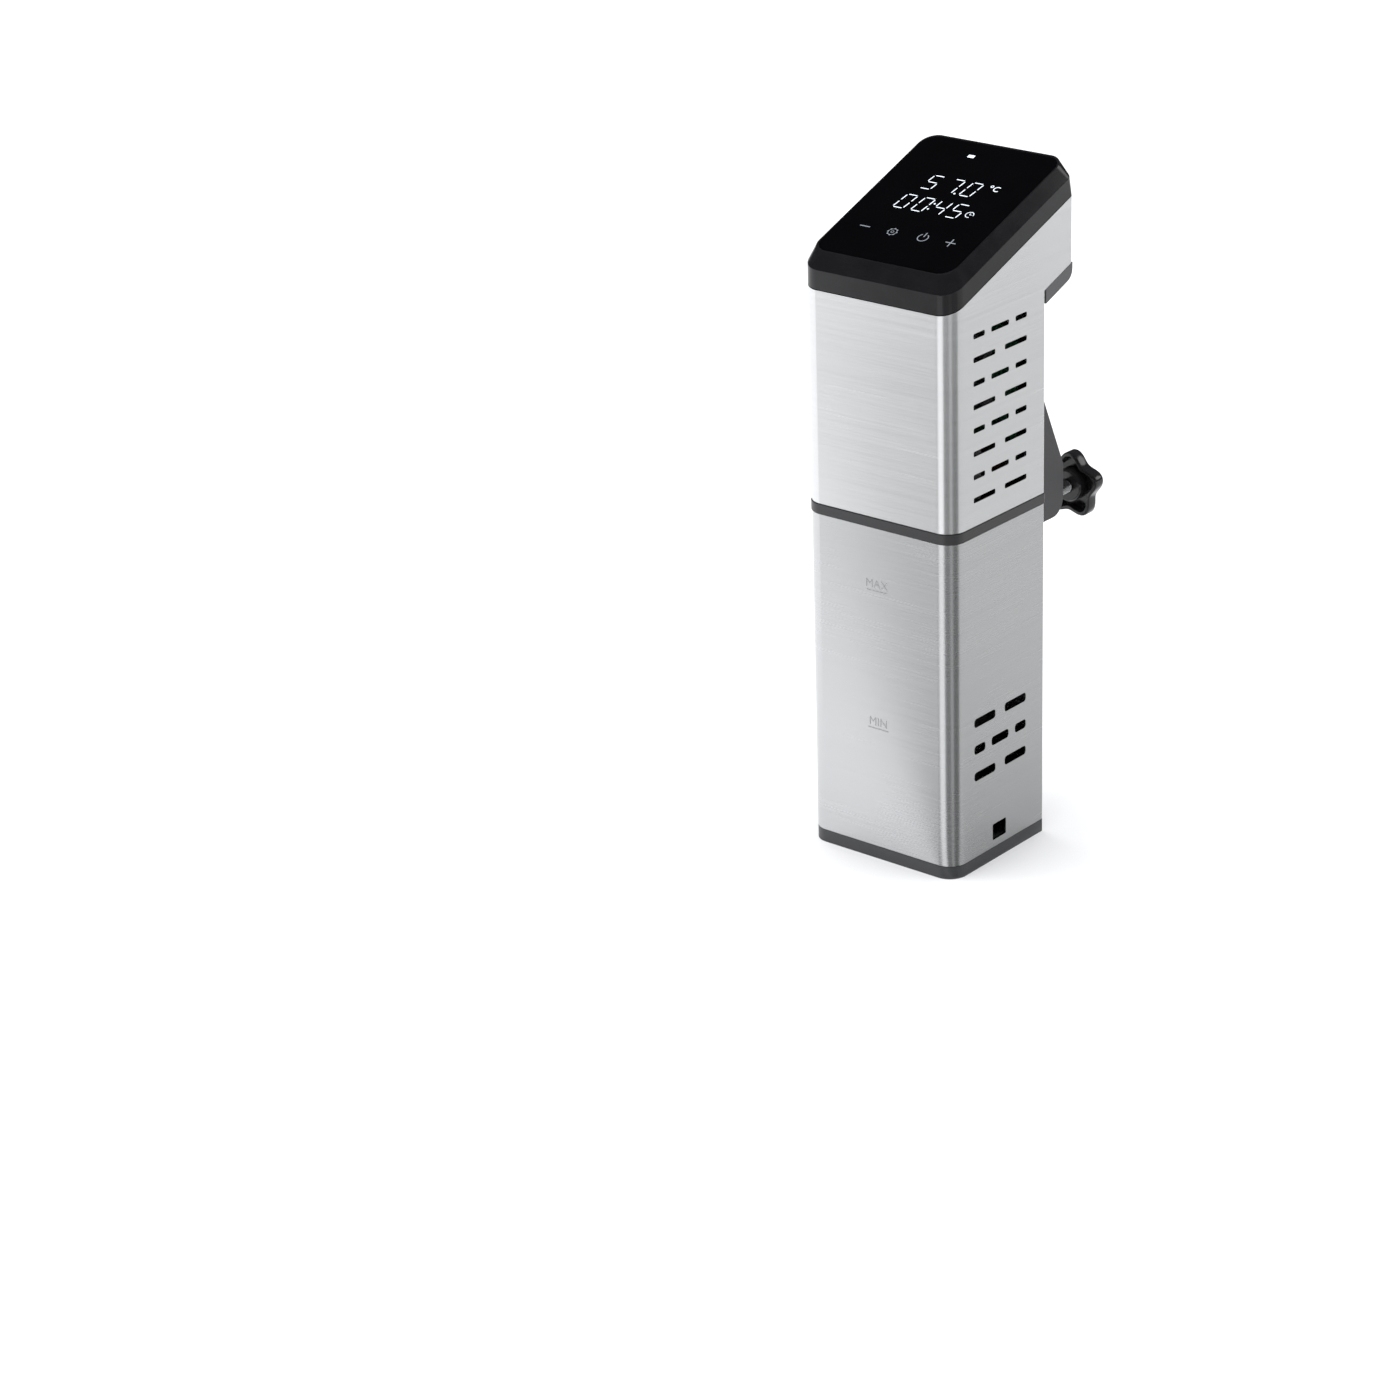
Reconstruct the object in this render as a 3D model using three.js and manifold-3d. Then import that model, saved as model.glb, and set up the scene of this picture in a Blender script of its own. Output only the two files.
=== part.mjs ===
// A sous vide circulator: a steel head with a sloped touch display, a steel sleeve round the heater and
// pump, and a screw clamp behind it for the rim of a pot. Millimetres, +Z up, +Y towards the pot's wall.
// The origin is the middle of the foot's underside, and x = 0 is the plane that halves the object.
import * as THREE from "three";
import { mergeVertices } from "three/addons/utils/BufferGeometryUtils.js";
import Module from "manifold-3d";

const wasm = await Module();
wasm.setup();

// Driving sizes of the body
const bodyWidth = 102;
const bodyDepth = 86;
const frontCorner = 11;
const backCorner = 1.8;
const wall = 1.2;
const footHeight = 7.5;
const sleeveHeight = 192.9;
const bandHeight = 6.1;
const frontHeight = 122.7; // the upper housing at its front, from the band to the cap
const slope = THREE.MathUtils.degToRad(20.4); // of the head's edges and of the display
const headOverhang = 25; // how far the head reaches back past the body
const headBackHeight = 37.5;
const underplateDepth = 8.5;

// Clearances
const gap = 0.3; // between pieces that touch
const runningGap = 0.2; // round the shaft and the clamp's screw

// Heights and edges that follow from them
const halfWidth = bodyWidth / 2;
const front = -bodyDepth / 2;
const back = bodyDepth / 2;
const headBack = back + headOverhang;
const rise = Math.tan(slope);
const sleeveTop = footHeight + sleeveHeight;
const bandTop = sleeveTop + bandHeight;
const edgeAt = (y) => bandTop + frontHeight + (y - front) * rise; // the housing's sloped upper edge
const underplateTopAt = (y) => edgeAt(y) - headBackHeight;
const inner = wall + gap;

// Materials
function paint(color, roughness, metalness) {
  return new THREE.MeshStandardMaterial({ color, roughness, metalness });
}
const steel = paint(0xb9bbbd, 0.35, 1);
const brightSteel = paint(0xc8cacc, 0.25, 1);
const darkPlastic = paint(0x2c2d2f, 0.5, 0);
const blackPlastic = paint(0x0d0d0e, 0.2, 0);
const glass = paint(0x030304, 0.05, 0);
const castMetal = paint(0x77797c, 0.45, 0.8);
const brass = paint(0xb5975a, 0.35, 1);
const rubber = paint(0x1a1a1b, 0.85, 0);
const boardGreen = paint(0x1f5a34, 0.6, 0);
const ceramic = paint(0xe9e6dc, 0.7, 0);
const copper = paint(0xa9643c, 0.4, 1);

// Solids
function solid(geometry) {
  const bare = geometry.clone();
  bare.deleteAttribute("normal");
  bare.deleteAttribute("uv");
  const merged = mergeVertices(bare, 1e-4);
  const vertProperties = merged.attributes.position.array;
  const triVerts = new Uint32Array(merged.index.array);
  return new wasm.Manifold(new wasm.Mesh({ numProp: 3, vertProperties, triVerts }));
}

function geometryOf(made) {
  const mesh = made.getMesh();
  const geometry = new THREE.BufferGeometry();
  geometry.setAttribute("position", new THREE.BufferAttribute(mesh.vertProperties, 3));
  geometry.setIndex(new THREE.BufferAttribute(mesh.triVerts, 1));
  geometry.computeVertexNormals();
  return geometry;
}

const joined = (solids) => solids.reduce((sum, next) => sum.add(next));
const without = (from, solids) => solids.reduce((rest, next) => rest.subtract(next), from);

const part = new THREE.Group();
function place(name, shape, material) {
  const geometry = shape.isBufferGeometry ? shape : geometryOf(shape);
  const mesh = new THREE.Mesh(geometry, material);
  mesh.name = name;
  part.add(mesh);
  return mesh;
}

function block(x0, x1, y0, y1, z0, z1) {
  const box = new THREE.BoxGeometry(x1 - x0, y1 - y0, z1 - z0);
  return box.translate((x0 + x1) / 2, (y0 + y1) / 2, (z0 + z1) / 2);
}

// An outline in the XY plane pulled up from z0 to z1
function upright(shape, z0, z1, curveSegments = 6) {
  const made = new THREE.ExtrudeGeometry(shape, { depth: z1 - z0, bevelEnabled: false, curveSegments });
  return made.translate(0, 0, z0);
}

// An outline in (y, z) pulled from x0 to x1
const sideways = new THREE.Matrix4().set(0, 0, 1, 0, 1, 0, 0, 0, 0, 1, 0, 0, 0, 0, 0, 1);
const profile = (shape, x0, x1) => upright(shape, x0, x1).applyMatrix4(sideways);

// Turns a geometry whose outline is in (z, x) and whose length is along Z to point along Y
const rearwards = new THREE.Matrix4().set(0, 1, 0, 0, 0, 0, 1, 0, 1, 0, 0, 0, 0, 0, 0, 1);

// A profile of [radius, height] points turned about Z; it starts and ends on the axis or closes on itself
function turned(points, sides, x = 0, y = 0) {
  const outline = points.map(([r, z]) => new THREE.Vector2(r, z));
  if (points[0][0] > 0) outline.push(outline[0].clone());
  return new THREE.LatheGeometry(outline, sides).rotateX(Math.PI / 2).translate(x, y, 0);
}
const rod = (r, z0, z1, sides, x = 0, y = 0) => turned([[0, z0], [r, z0], [r, z1], [0, z1]], sides, x, y);
const sleeve = (r0, r1, z0, z1, sides, x = 0, y = 0) =>
  turned([[r0, z0], [r1, z0], [r1, z1], [r0, z1]], sides, x, y);

// The same two along Y, centred on (x, z)
const onY = (geometry, x, z) => geometry.rotateX(-Math.PI / 2).translate(x, 0, z);
const rodY = (r, y0, y1, sides, x, z) => onY(rod(r, y0, y1, sides), x, z);
const sleeveY = (r0, r1, y0, y1, sides, x, z) => onY(sleeve(r0, r1, y0, y1, sides), x, z);

function polygon(points) {
  return new THREE.Shape(points.map(([a, b]) => new THREE.Vector2(a, b)));
}

// The body's plan, drawn in by inset: round front corners and nearly sharp back ones
function plan(inset, yBack = back) {
  const r = Math.max(frontCorner - inset, 0.5);
  const s = Math.max(backCorner - inset, 0.4);
  const x = halfWidth - inset;
  const y0 = front + inset;
  const y1 = yBack - inset;
  const shape = new THREE.Shape();
  shape.absarc(-x + r, y0 + r, r, Math.PI, Math.PI * 1.5);
  shape.absarc(x - r, y0 + r, r, Math.PI * 1.5, Math.PI * 2);
  shape.absarc(x - s, y1 - s, s, 0, Math.PI / 2);
  shape.absarc(-x + s, y1 - s, s, Math.PI / 2, Math.PI);
  return shape;
}

function roundedRectangle(x0, x1, y0, y1, r) {
  const shape = new THREE.Shape();
  shape.absarc(x0 + r, y0 + r, r, Math.PI, Math.PI * 1.5);
  shape.absarc(x1 - r, y0 + r, r, Math.PI * 1.5, Math.PI * 2);
  shape.absarc(x1 - r, y1 - r, r, 0, Math.PI / 2);
  shape.absarc(x0 + r, y1 - r, r, Math.PI / 2, Math.PI);
  return shape;
}

// Everything above (or below) the sloped line z = height(y), as a solid to cut with
const far = 600;
function above(height) {
  const outline = polygon([[-far, height(-far)], [far, height(far)], [far, far * 2], [-far, far * 2]]);
  return solid(profile(outline, -far, far));
}
function below(height) {
  const outline = polygon([[-far, -far], [far, -far], [far, height(far)], [-far, height(-far)]]);
  return solid(profile(outline, -far, far));
}

// Slots: rows of long and short openings in both sides of a shell, alternating
const slotRowShort = [[-23.5, -13.2], [-7.3, 8.8], [14.9, 25.3]];
const slotRowLong = [[-23.5, -3.7], [5.1, 25.3]];
function slotCutters(rows, height) {
  const reach = halfWidth + 5;
  return rows.flatMap(({ z, spans }) =>
    spans.map(([y0, y1]) => solid(block(-reach, reach, y0, y1, z - height / 2, z + height / 2))),
  );
}

// Foot and lower sleeve: one piece that pulls off downwards for cleaning
const lowerSlotHeight = 5.3;
const lowerSlotPitch = 16.3;
const lowerSlotMiddle = 73.4;
const outletWidth = 12.6;
const outletBottom = 12.2;
const outletHeight = 9.8;
const footScrewX = 38;
const footScrewY = 30;
const footScrewHead = 3.2;
{
  const rows = [-1, 0, 1].map((i) => ({
    z: lowerSlotMiddle - i * lowerSlotPitch,
    spans: i === 0 ? slotRowShort : slotRowLong,
  }));
  const bottom = footHeight + gap;
  const top = sleeveTop - gap;
  const hollow = solid(upright(plan(wall), bottom - 1, top + 1));
  const shell = solid(upright(plan(0), bottom, top)).subtract(hollow);
  const reach = halfWidth + 5;
  const outletTop = outletBottom + outletHeight;
  const outlet = block(-reach, reach, -outletWidth / 2, outletWidth / 2, outletBottom, outletTop);
  place("lower_sleeve", without(shell, [...slotCutters(rows, lowerSlotHeight), solid(outlet)]), steel);

  // The foot has a raised plug that seats inside the sleeve, and four screws from below
  const plugHeight = 3;
  const plug = solid(upright(plan(inner), footHeight - 1, footHeight + plugHeight));
  const tray = solid(upright(plan(inner + 5), footHeight, footHeight + plugHeight + 1));
  const shank = 1.6;
  let foot = solid(upright(plan(0), 0, footHeight)).add(plug).subtract(tray);
  for (const [i, [sx, sy]] of [[-1, -1], [1, -1], [1, 1], [-1, 1]].entries()) {
    const [x, y] = [sx * footScrewX, sy * footScrewY];
    foot = foot.subtract(solid(rod(footScrewHead + gap, -1, 3.5, 12, x, y)));
    foot = foot.subtract(solid(rod(shank + gap, 3, footHeight + 1, 10, x, y)));
    const tip = footHeight + 2;
    const seat = 3.2;
    const screw = [[0, 1], [footScrewHead, 1], [footScrewHead, seat], [shank, seat], [shank, tip], [0, tip]];
    place("foot_screw_" + (i + 1), turned(screw, 12, x, y), brightSteel);
  }
  place("foot_plate", foot, darkPlastic);
}

// Band and deck: the seam between the dry head and the wet sleeve
const bandProud = 0.4;
const bandRim = 4;
const deckThickness = 3;
const deckTop = bandTop + deckThickness;
const shaftRadius = 3;
const heaterTube = 3.5;
const heaterRadius = 30;
const heaterReturn = 38;
const heaterLegAngles = [-120, -60].map(THREE.MathUtils.degToRad);
const heaterLegs = [
  [heaterRadius * Math.cos(heaterLegAngles[0]), heaterRadius * Math.sin(heaterLegAngles[0])],
  [heaterReturn * Math.cos(heaterLegAngles[1]), heaterReturn * Math.sin(heaterLegAngles[1])],
];
const probeRadius = 2.5;
const probeAt = [-36, -28];
const rodRadius = 2;
const levelRods = [
  { name: "level_rod_low", at: [36, -28], tip: 80.5 },
  { name: "level_rod_high", at: [40, -14], tip: 163.3 },
];
{
  const ring = new THREE.Shape(plan(-bandProud).getPoints(6));
  ring.holes.push(new THREE.Path(plan(bandRim).getPoints(6)));
  place("band_gasket", upright(ring, sleeveTop, bandTop - gap), rubber);

  const holes = [
    rod(shaftRadius + 0.6, bandTop - 1, deckTop + 1, 12),
    ...heaterLegs.map(([x, y]) => rod(heaterTube + gap, bandTop - 1, deckTop + 1, 12, x, y)),
    rod(probeRadius + gap, bandTop - 1, deckTop + 1, 10, ...probeAt),
    ...levelRods.map(({ at }) => rod(rodRadius + gap, bandTop - 1, deckTop + 1, 10, ...at)),
  ];
  place("deck_plate", without(solid(upright(plan(inner), bandTop, deckTop)), holes.map(solid)), brightSteel);
}

// Upper housing: a folded steel shell with rows of vents in both sides, open at the top and the bottom
const ventHeight = 3;
const ventPitch = 13.27;
const ventTop = bandTop + 107.8;
const ventRows = 8;
const coverHalf = 44;
const coverBottom = bandTop + 4;
const coverTop = bandTop + 105.5;
const coverThickness = 2;
const coverMargin = 8; // how far the cover overlaps its opening
const coverScrewInset = coverMargin / 2;
const coverScrewX = coverHalf - coverScrewInset;
const coverScrews = [-1, 1].flatMap((sx) =>
  [coverBottom + coverScrewInset, coverTop - coverScrewInset].map((z) => [sx * coverScrewX, z]),
);
const coverScrewRadius = 1.5;
const inletFlange = 9;
const inletAt = [inletFlange + 0.5 - coverHalf, bandTop + 78];
const inletRadius = 6;
{
  // Body and head as one block, drawn in by inset and, for the hollow, run past the ends by extra
  const blockOf = (inset, extra) => {
    const column = (yBack) => solid(upright(plan(inset, yBack), bandTop - extra, far + extra));
    return column(back).add(column(headBack).subtract(below((y) => underplateTopAt(y) - extra)));
  };
  const rows = Array.from({ length: ventRows }, (_, i) => ({
    z: ventTop - i * ventPitch,
    spans: i % 2 ? slotRowLong : slotRowShort,
  }));
  const serviceOpening = block(
    coverMargin - coverHalf, coverHalf - coverMargin,
    back - 5, back + 1,
    coverBottom + coverMargin, coverTop - coverMargin,
  );
  const screwHoles = coverScrews.map(([x, z]) => rodY(coverScrewRadius + gap, back - 5, back + 1, 10, x, z));
  const inletHole = rodY(inletRadius + gap, back - 5, back + 1, 16, ...inletAt);
  const shell = without(blockOf(0, 0), [blockOf(wall, 1), above(edgeAt), ...slotCutters(rows, ventHeight)]);
  place("upper_housing", without(shell, [serviceOpening, ...screwHoles, inletHole].map(solid)), steel);
}

// Head underplate: closes the overhanging head from below
{
  const y0 = back + gap;
  const top = (y) => underplateTopAt(y) - gap;
  const bottom = (y) => underplateTopAt(y) - underplateDepth;
  const r = 5;
  const shape = new THREE.Shape();
  shape.moveTo(y0, bottom(y0));
  shape.lineTo(headBack - r, bottom(headBack - r));
  shape.quadraticCurveTo(headBack, bottom(headBack), headBack, bottom(headBack) + r);
  shape.lineTo(headBack, top(headBack));
  shape.lineTo(y0, top(y0));
  place("head_underplate", profile(shape, -halfWidth, halfWidth), darkPlastic);
}

// Cap: a chamfered frame on the sloped edge that holds the glass, and the display stack under it
const capStrip = 11.5; // height of the upright strip all round
const capHeight = 21; // from the housing's edge to the glass, upright
const chamferFront = 4;
const chamferSide = 4.7;
const rimLand = 0.7;
const glassThickness = 3;
const glassCorner = 9;
const ledge = 2.8;
const glassPlaneAt = (y) => edgeAt(y) + capHeight - 1;
const pocketHalf = halfWidth - chamferSide - rimLand;
const pocketFront = front + chamferFront + rimLand;
const pocketBack = headBack - 1.2;
const tiltedLength = (y0, y1) => (y1 - y0) / Math.cos(slope);
// Lays a geometry built on z = 0, with y measured along the slope from the pocket's front, in the glass plane
const onGlass = (geometry) => geometry.rotateX(slope).translate(0, pocketFront, glassPlaneAt(pocketFront));
const pocketLength = tiltedLength(pocketFront, pocketBack);
{
  const outer = solid(upright(plan(0, headBack), bandTop, far));
  const chamferTop = front + chamferFront;
  const frontWedge = profile(
    polygon([
      [front, edgeAt(front) + capStrip],
      [chamferTop, glassPlaneAt(chamferTop)],
      [chamferTop, far],
      [front - 20, far],
      [front - 20, edgeAt(front) + capStrip],
    ]),
    -far, far,
  );
  const sideDrop = (capHeight - 1 - capStrip) * Math.cos(slope);
  const sideWedge = (side) => {
    const shape = polygon([
      [halfWidth, -sideDrop],
      [halfWidth + 20, -sideDrop],
      [halfWidth + 20, 20],
      [halfWidth - chamferSide, 20],
      [halfWidth - chamferSide, 0],
    ]);
    const wedge = upright(shape, -200, 200).rotateX(Math.PI / 2);
    return solid(onGlass(side > 0 ? wedge : wedge.rotateZ(Math.PI)));
  };
  const pocket = roundedRectangle(-pocketHalf, pocketHalf, 0, pocketLength, glassCorner + gap);
  const wellHalf = pocketHalf - ledge;
  const wellCorner = glassCorner - ledge;
  const well = roundedRectangle(-wellHalf, wellHalf, pocketFront + ledge, pocketBack - ledge, wellCorner);
  const lipDrop = 6;
  const lip = solid(upright(plan(inner, headBack), bandTop, far)).subtract(below((y) => edgeAt(y) - lipDrop));
  const lipHollow = solid(upright(plan(inner + 2, headBack), bandTop, far));
  const rim = outer.subtract(below((y) => edgeAt(y) + gap)).subtract(above(glassPlaneAt));
  const frame = without(rim, [solid(frontWedge), sideWedge(1), sideWedge(-1)]);
  const lipRing = lip.subtract(lipHollow).subtract(above((y) => edgeAt(y) + 2));
  const cuts = [
    solid(onGlass(upright(pocket, -glassThickness - gap, 30))),
    solid(upright(well, bandTop, far)),
  ];
  place("display_bezel", without(frame.add(lipRing), cuts), blackPlastic);

  const pane = roundedRectangle(gap - pocketHalf, pocketHalf - gap, gap, pocketLength - gap, glassCorner);
  place("touch_glass", onGlass(upright(pane, -glassThickness, 0)), glass);

  const display = block(-29, 31, 36, 104, -glassThickness - gap - 5, -glassThickness - gap);
  place("display_module", onGlass(display), darkPlastic);
  const boardTop = -glassThickness - gap * 2 - 5;
  const board = block(8 - pocketHalf, pocketHalf - 8, 8, pocketLength - 10, boardTop - 1.6, boardTop);
  place("control_board", onGlass(board), boardGreen);
  place("touch_panel", onGlass(block(-36, 36, 9, 33, boardTop + gap, -glassThickness - gap)), ceramic);
  place("buzzer", onGlass(rod(6, boardTop - 9, boardTop - 1.6 - gap, 16, -26, 20)), darkPlastic);
}

// Rear cover with its screws, and the inlet that the mains cord enters by
const coverFace = back + gap + coverThickness;
const flangeHalf = 24;
const flangeThickness = 4;
const flangeFace = coverFace + gap + flangeThickness;
const flangeBottom = bandTop + 5;
const flangeTop = coverTop - 2;
const flangeScrews = [-1, 1].flatMap((sx) => [flangeBottom + 10, flangeTop - 10].map((z) => [sx * 17.5, z]));
const flangeScrewRadius = 2;
{
  const plate = block(-coverHalf, coverHalf, back + gap, coverFace, coverBottom, coverTop);
  const holes = [
    ...coverScrews.map(([x, z]) => rodY(coverScrewRadius + gap, back - 1, coverFace + 1, 10, x, z)),
    ...flangeScrews.map(([x, z]) => rodY(flangeScrewRadius + gap, back - 1, coverFace + 1, 10, x, z)),
    rodY(inletRadius + gap, back - 1, coverFace + 1, 16, ...inletAt),
  ];
  place("rear_cover", without(solid(plate), holes.map(solid)), steel);

  const panScrew = (shank, head, from, seat) => {
    const top = seat + shank * 1.1;
    return [[0, from], [shank, from], [shank, seat], [head, seat], [head, top], [0, top]];
  };
  coverScrews.forEach(([x, z], i) => {
    const screw = turned(panScrew(coverScrewRadius, 2.8, back - 4, coverFace + gap), 12);
    place("cover_screw_" + (i + 1), onY(screw, x, z), brightSteel);
  });
  flangeScrews.forEach(([x, z], i) => {
    const screw = turned(panScrew(flangeScrewRadius, 3.8, back - 4, flangeFace + gap), 12);
    place("bracket_screw_" + (i + 1), onY(screw, x, z), brightSteel);
  });

  const inletBore = 3.8;
  const inletSection = [
    [inletBore, back - 6],
    [inletRadius, back - 6],
    [inletRadius, coverFace + gap],
    [inletFlange, coverFace + gap],
    [inletFlange, coverFace + 5],
    [inletBore + 2.5, coverFace + 8],
    [inletBore, coverFace + 8],
  ];
  place("cord_inlet", onY(turned(inletSection, 20), ...inletAt), darkPlastic);
}

// Clamp bracket: a casting that hangs from the head's back and carries the clamp's screw
const bracketHalf = 11;
const gapCeiling = bandTop + 5;
const jawFace = back + 53;
const jawOuter = back + 75;
const jawBottom = bandTop - 43.8;
const kneeY = jawOuter - 1.5;
const kneeZ = bandTop - 10.3;
const armSlope = 2.23;
const screwAxis = bandTop - 35.5;
const screwRadius = 4;
const nutRadius = 5.5;
{
  const y0 = coverFace + gap;
  const ceiling = (y) => underplateTopAt(y) - underplateDepth - gap;
  const topY = (kneeZ + armSlope * kneeY - ceiling(0)) / (armSlope + rise);
  const r = 10;
  const fillet = 8;
  const shape = new THREE.Shape();
  shape.moveTo(y0, gapCeiling);
  shape.lineTo(jawFace - fillet, gapCeiling);
  shape.absarc(jawFace - fillet, gapCeiling - fillet, fillet, Math.PI / 2, 0, true);
  shape.lineTo(jawFace, jawBottom);
  shape.lineTo(jawOuter - r, jawBottom);
  shape.absarc(jawOuter - r, jawBottom + r, r, -Math.PI / 2, 0);
  shape.lineTo(jawOuter, kneeZ - 3.3);
  shape.lineTo(kneeY, kneeZ);
  shape.lineTo(topY, ceiling(topY));
  shape.lineTo(y0, ceiling(y0));
  const arm = solid(profile(shape, -bracketHalf, bracketHalf));
  const flange = solid(block(-flangeHalf, flangeHalf, y0, flangeFace, flangeBottom, flangeTop));

  // A shallow pocket in each flank follows the casting's outline
  const lowY = 58;
  const pocketZ = gapCeiling + 9;
  const pocketTop = bandTop + 92;
  const slantAt = (z) => kneeY - (z - kneeZ) / armSlope - 9;
  const flank = polygon([
    [lowY, pocketZ],
    [slantAt(pocketZ), pocketZ],
    [slantAt(pocketTop), pocketTop],
    [lowY, pocketTop],
  ]);
  const pocketDepth = 3;
  const pockets = [
    profile(flank, bracketHalf - pocketDepth, bracketHalf + 5),
    profile(flank, -bracketHalf - 5, pocketDepth - bracketHalf),
  ];
  const holes = [
    ...flangeScrews.map(([x, z]) => rodY(flangeScrewRadius + gap, y0 - 1, flangeFace + 1, 10, x, z)),
    rodY(nutRadius + gap, jawFace - 1, jawOuter + 1, 20, 0, screwAxis),
  ];
  place("clamp_bracket", without(arm.add(flange), [...pockets, ...holes].map(solid)), castMetal);
  const nut = sleeveY(screwRadius + runningGap, nutRadius, jawFace + 1, jawOuter - 1, 20, 0, screwAxis);
  place("clamp_nut", nut, brass);
}

// Clamp pad, screw and knob. At rest the pad stands padReach behind the body, so a pot's wall slips in
const padReach = 20;
const padRadius = 14;
const padRubber = 2.7;
const padDisc = 6;
const padFace = back + padReach;
const padBack = padFace + padRubber + gap + padDisc;
const knobTravel = 18.7; // from the knob's hub to the bracket
const hubFace = jawOuter + knobTravel + gap;
const hubRadius = 9.8;
const hubProud = 2.2; // how far the hub stands out of the knob's hollow front
const knobBack = hubFace + 11;
const knobSkin = 2.6; // its back, and the wall round its lobes
const lobes = 5;
const lobeMean = 17.8;
const lobeSwing = 2.3;
const lobeTurn = THREE.MathUtils.degToRad(1);
{
  place("pad_face", rodY(padRadius, padFace, padFace + padRubber, 28, 0, screwAxis), rubber);

  // The screw's ball end turns in the disc's socket
  const ballRadius = 5;
  const ballFront = padFace + padRubber + gap + 2;
  const socket = turned(
    [[0, ballFront - gap], [ballRadius + gap, ballFront - gap], [ballRadius + gap, padBack - 2],
      [screwRadius + gap, padBack - 1], [screwRadius + gap, padBack + 1], [0, padBack + 1]],
    20,
  );
  const disc = solid(rodY(padRadius, padFace + padRubber + gap, padBack, 28, 0, screwAxis));
  place("pad_disc", disc.subtract(solid(onY(socket, 0, screwAxis))), castMetal);

  const screwEnd = knobBack - 3.6;
  const screw = turned(
    [[0, ballFront], [ballRadius, ballFront], [ballRadius, padBack - 2 - gap],
      [screwRadius, padBack - 1 - gap], [screwRadius, screwEnd], [0, screwEnd]],
    20,
  );
  place("clamp_screw", onY(screw, 0, screwAxis), brightSteel);

  // Lobes round the knob, drawn in by inset
  const lobedOutline = (inset) => {
    const steps = 60;
    const points = [];
    for (let i = 0; i < steps; i++) {
      const angle = (i / steps) * Math.PI * 2;
      const r = lobeMean - inset + lobeSwing * Math.cos(lobes * (angle - lobeTurn));
      points.push([r * Math.cos(angle), r * Math.sin(angle)]);
    }
    return polygon(points);
  };
  const onScrew = (geometry) => solid(geometry.applyMatrix4(rearwards).translate(0, 0, screwAxis));
  const bevel = 1.4;
  const rimFace = hubFace + hubProud;
  const star = new THREE.ExtrudeGeometry(lobedOutline(0), {
    depth: knobBack - rimFace - 2 * bevel,
    bevelThickness: bevel,
    bevelSize: bevel,
    bevelOffset: -bevel,
    bevelSegments: 2,
  });
  star.translate(0, 0, rimFace + bevel);
  const hollow = onScrew(upright(lobedOutline(knobSkin), rimFace - 1, knobBack - knobSkin));
  const hub = solid(rodY(hubRadius, hubFace, knobBack - knobSkin + 1, 24, 0, screwAxis));
  const bore = solid(rodY(screwRadius + gap, hubFace - 1, screwEnd + gap, 20, 0, screwAxis));
  const capSeat = solid(rodY(8 + gap, knobBack - 1.6, knobBack + 1, 24, 0, screwAxis));
  const shell = onScrew(star).subtract(hollow).add(hub);
  place("star_knob", without(shell, [bore, capSeat]), blackPlastic);
  place("knob_cap", rodY(8, knobBack - 1.6 + gap, knobBack, 24, 0, screwAxis), darkPlastic);
}

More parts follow.
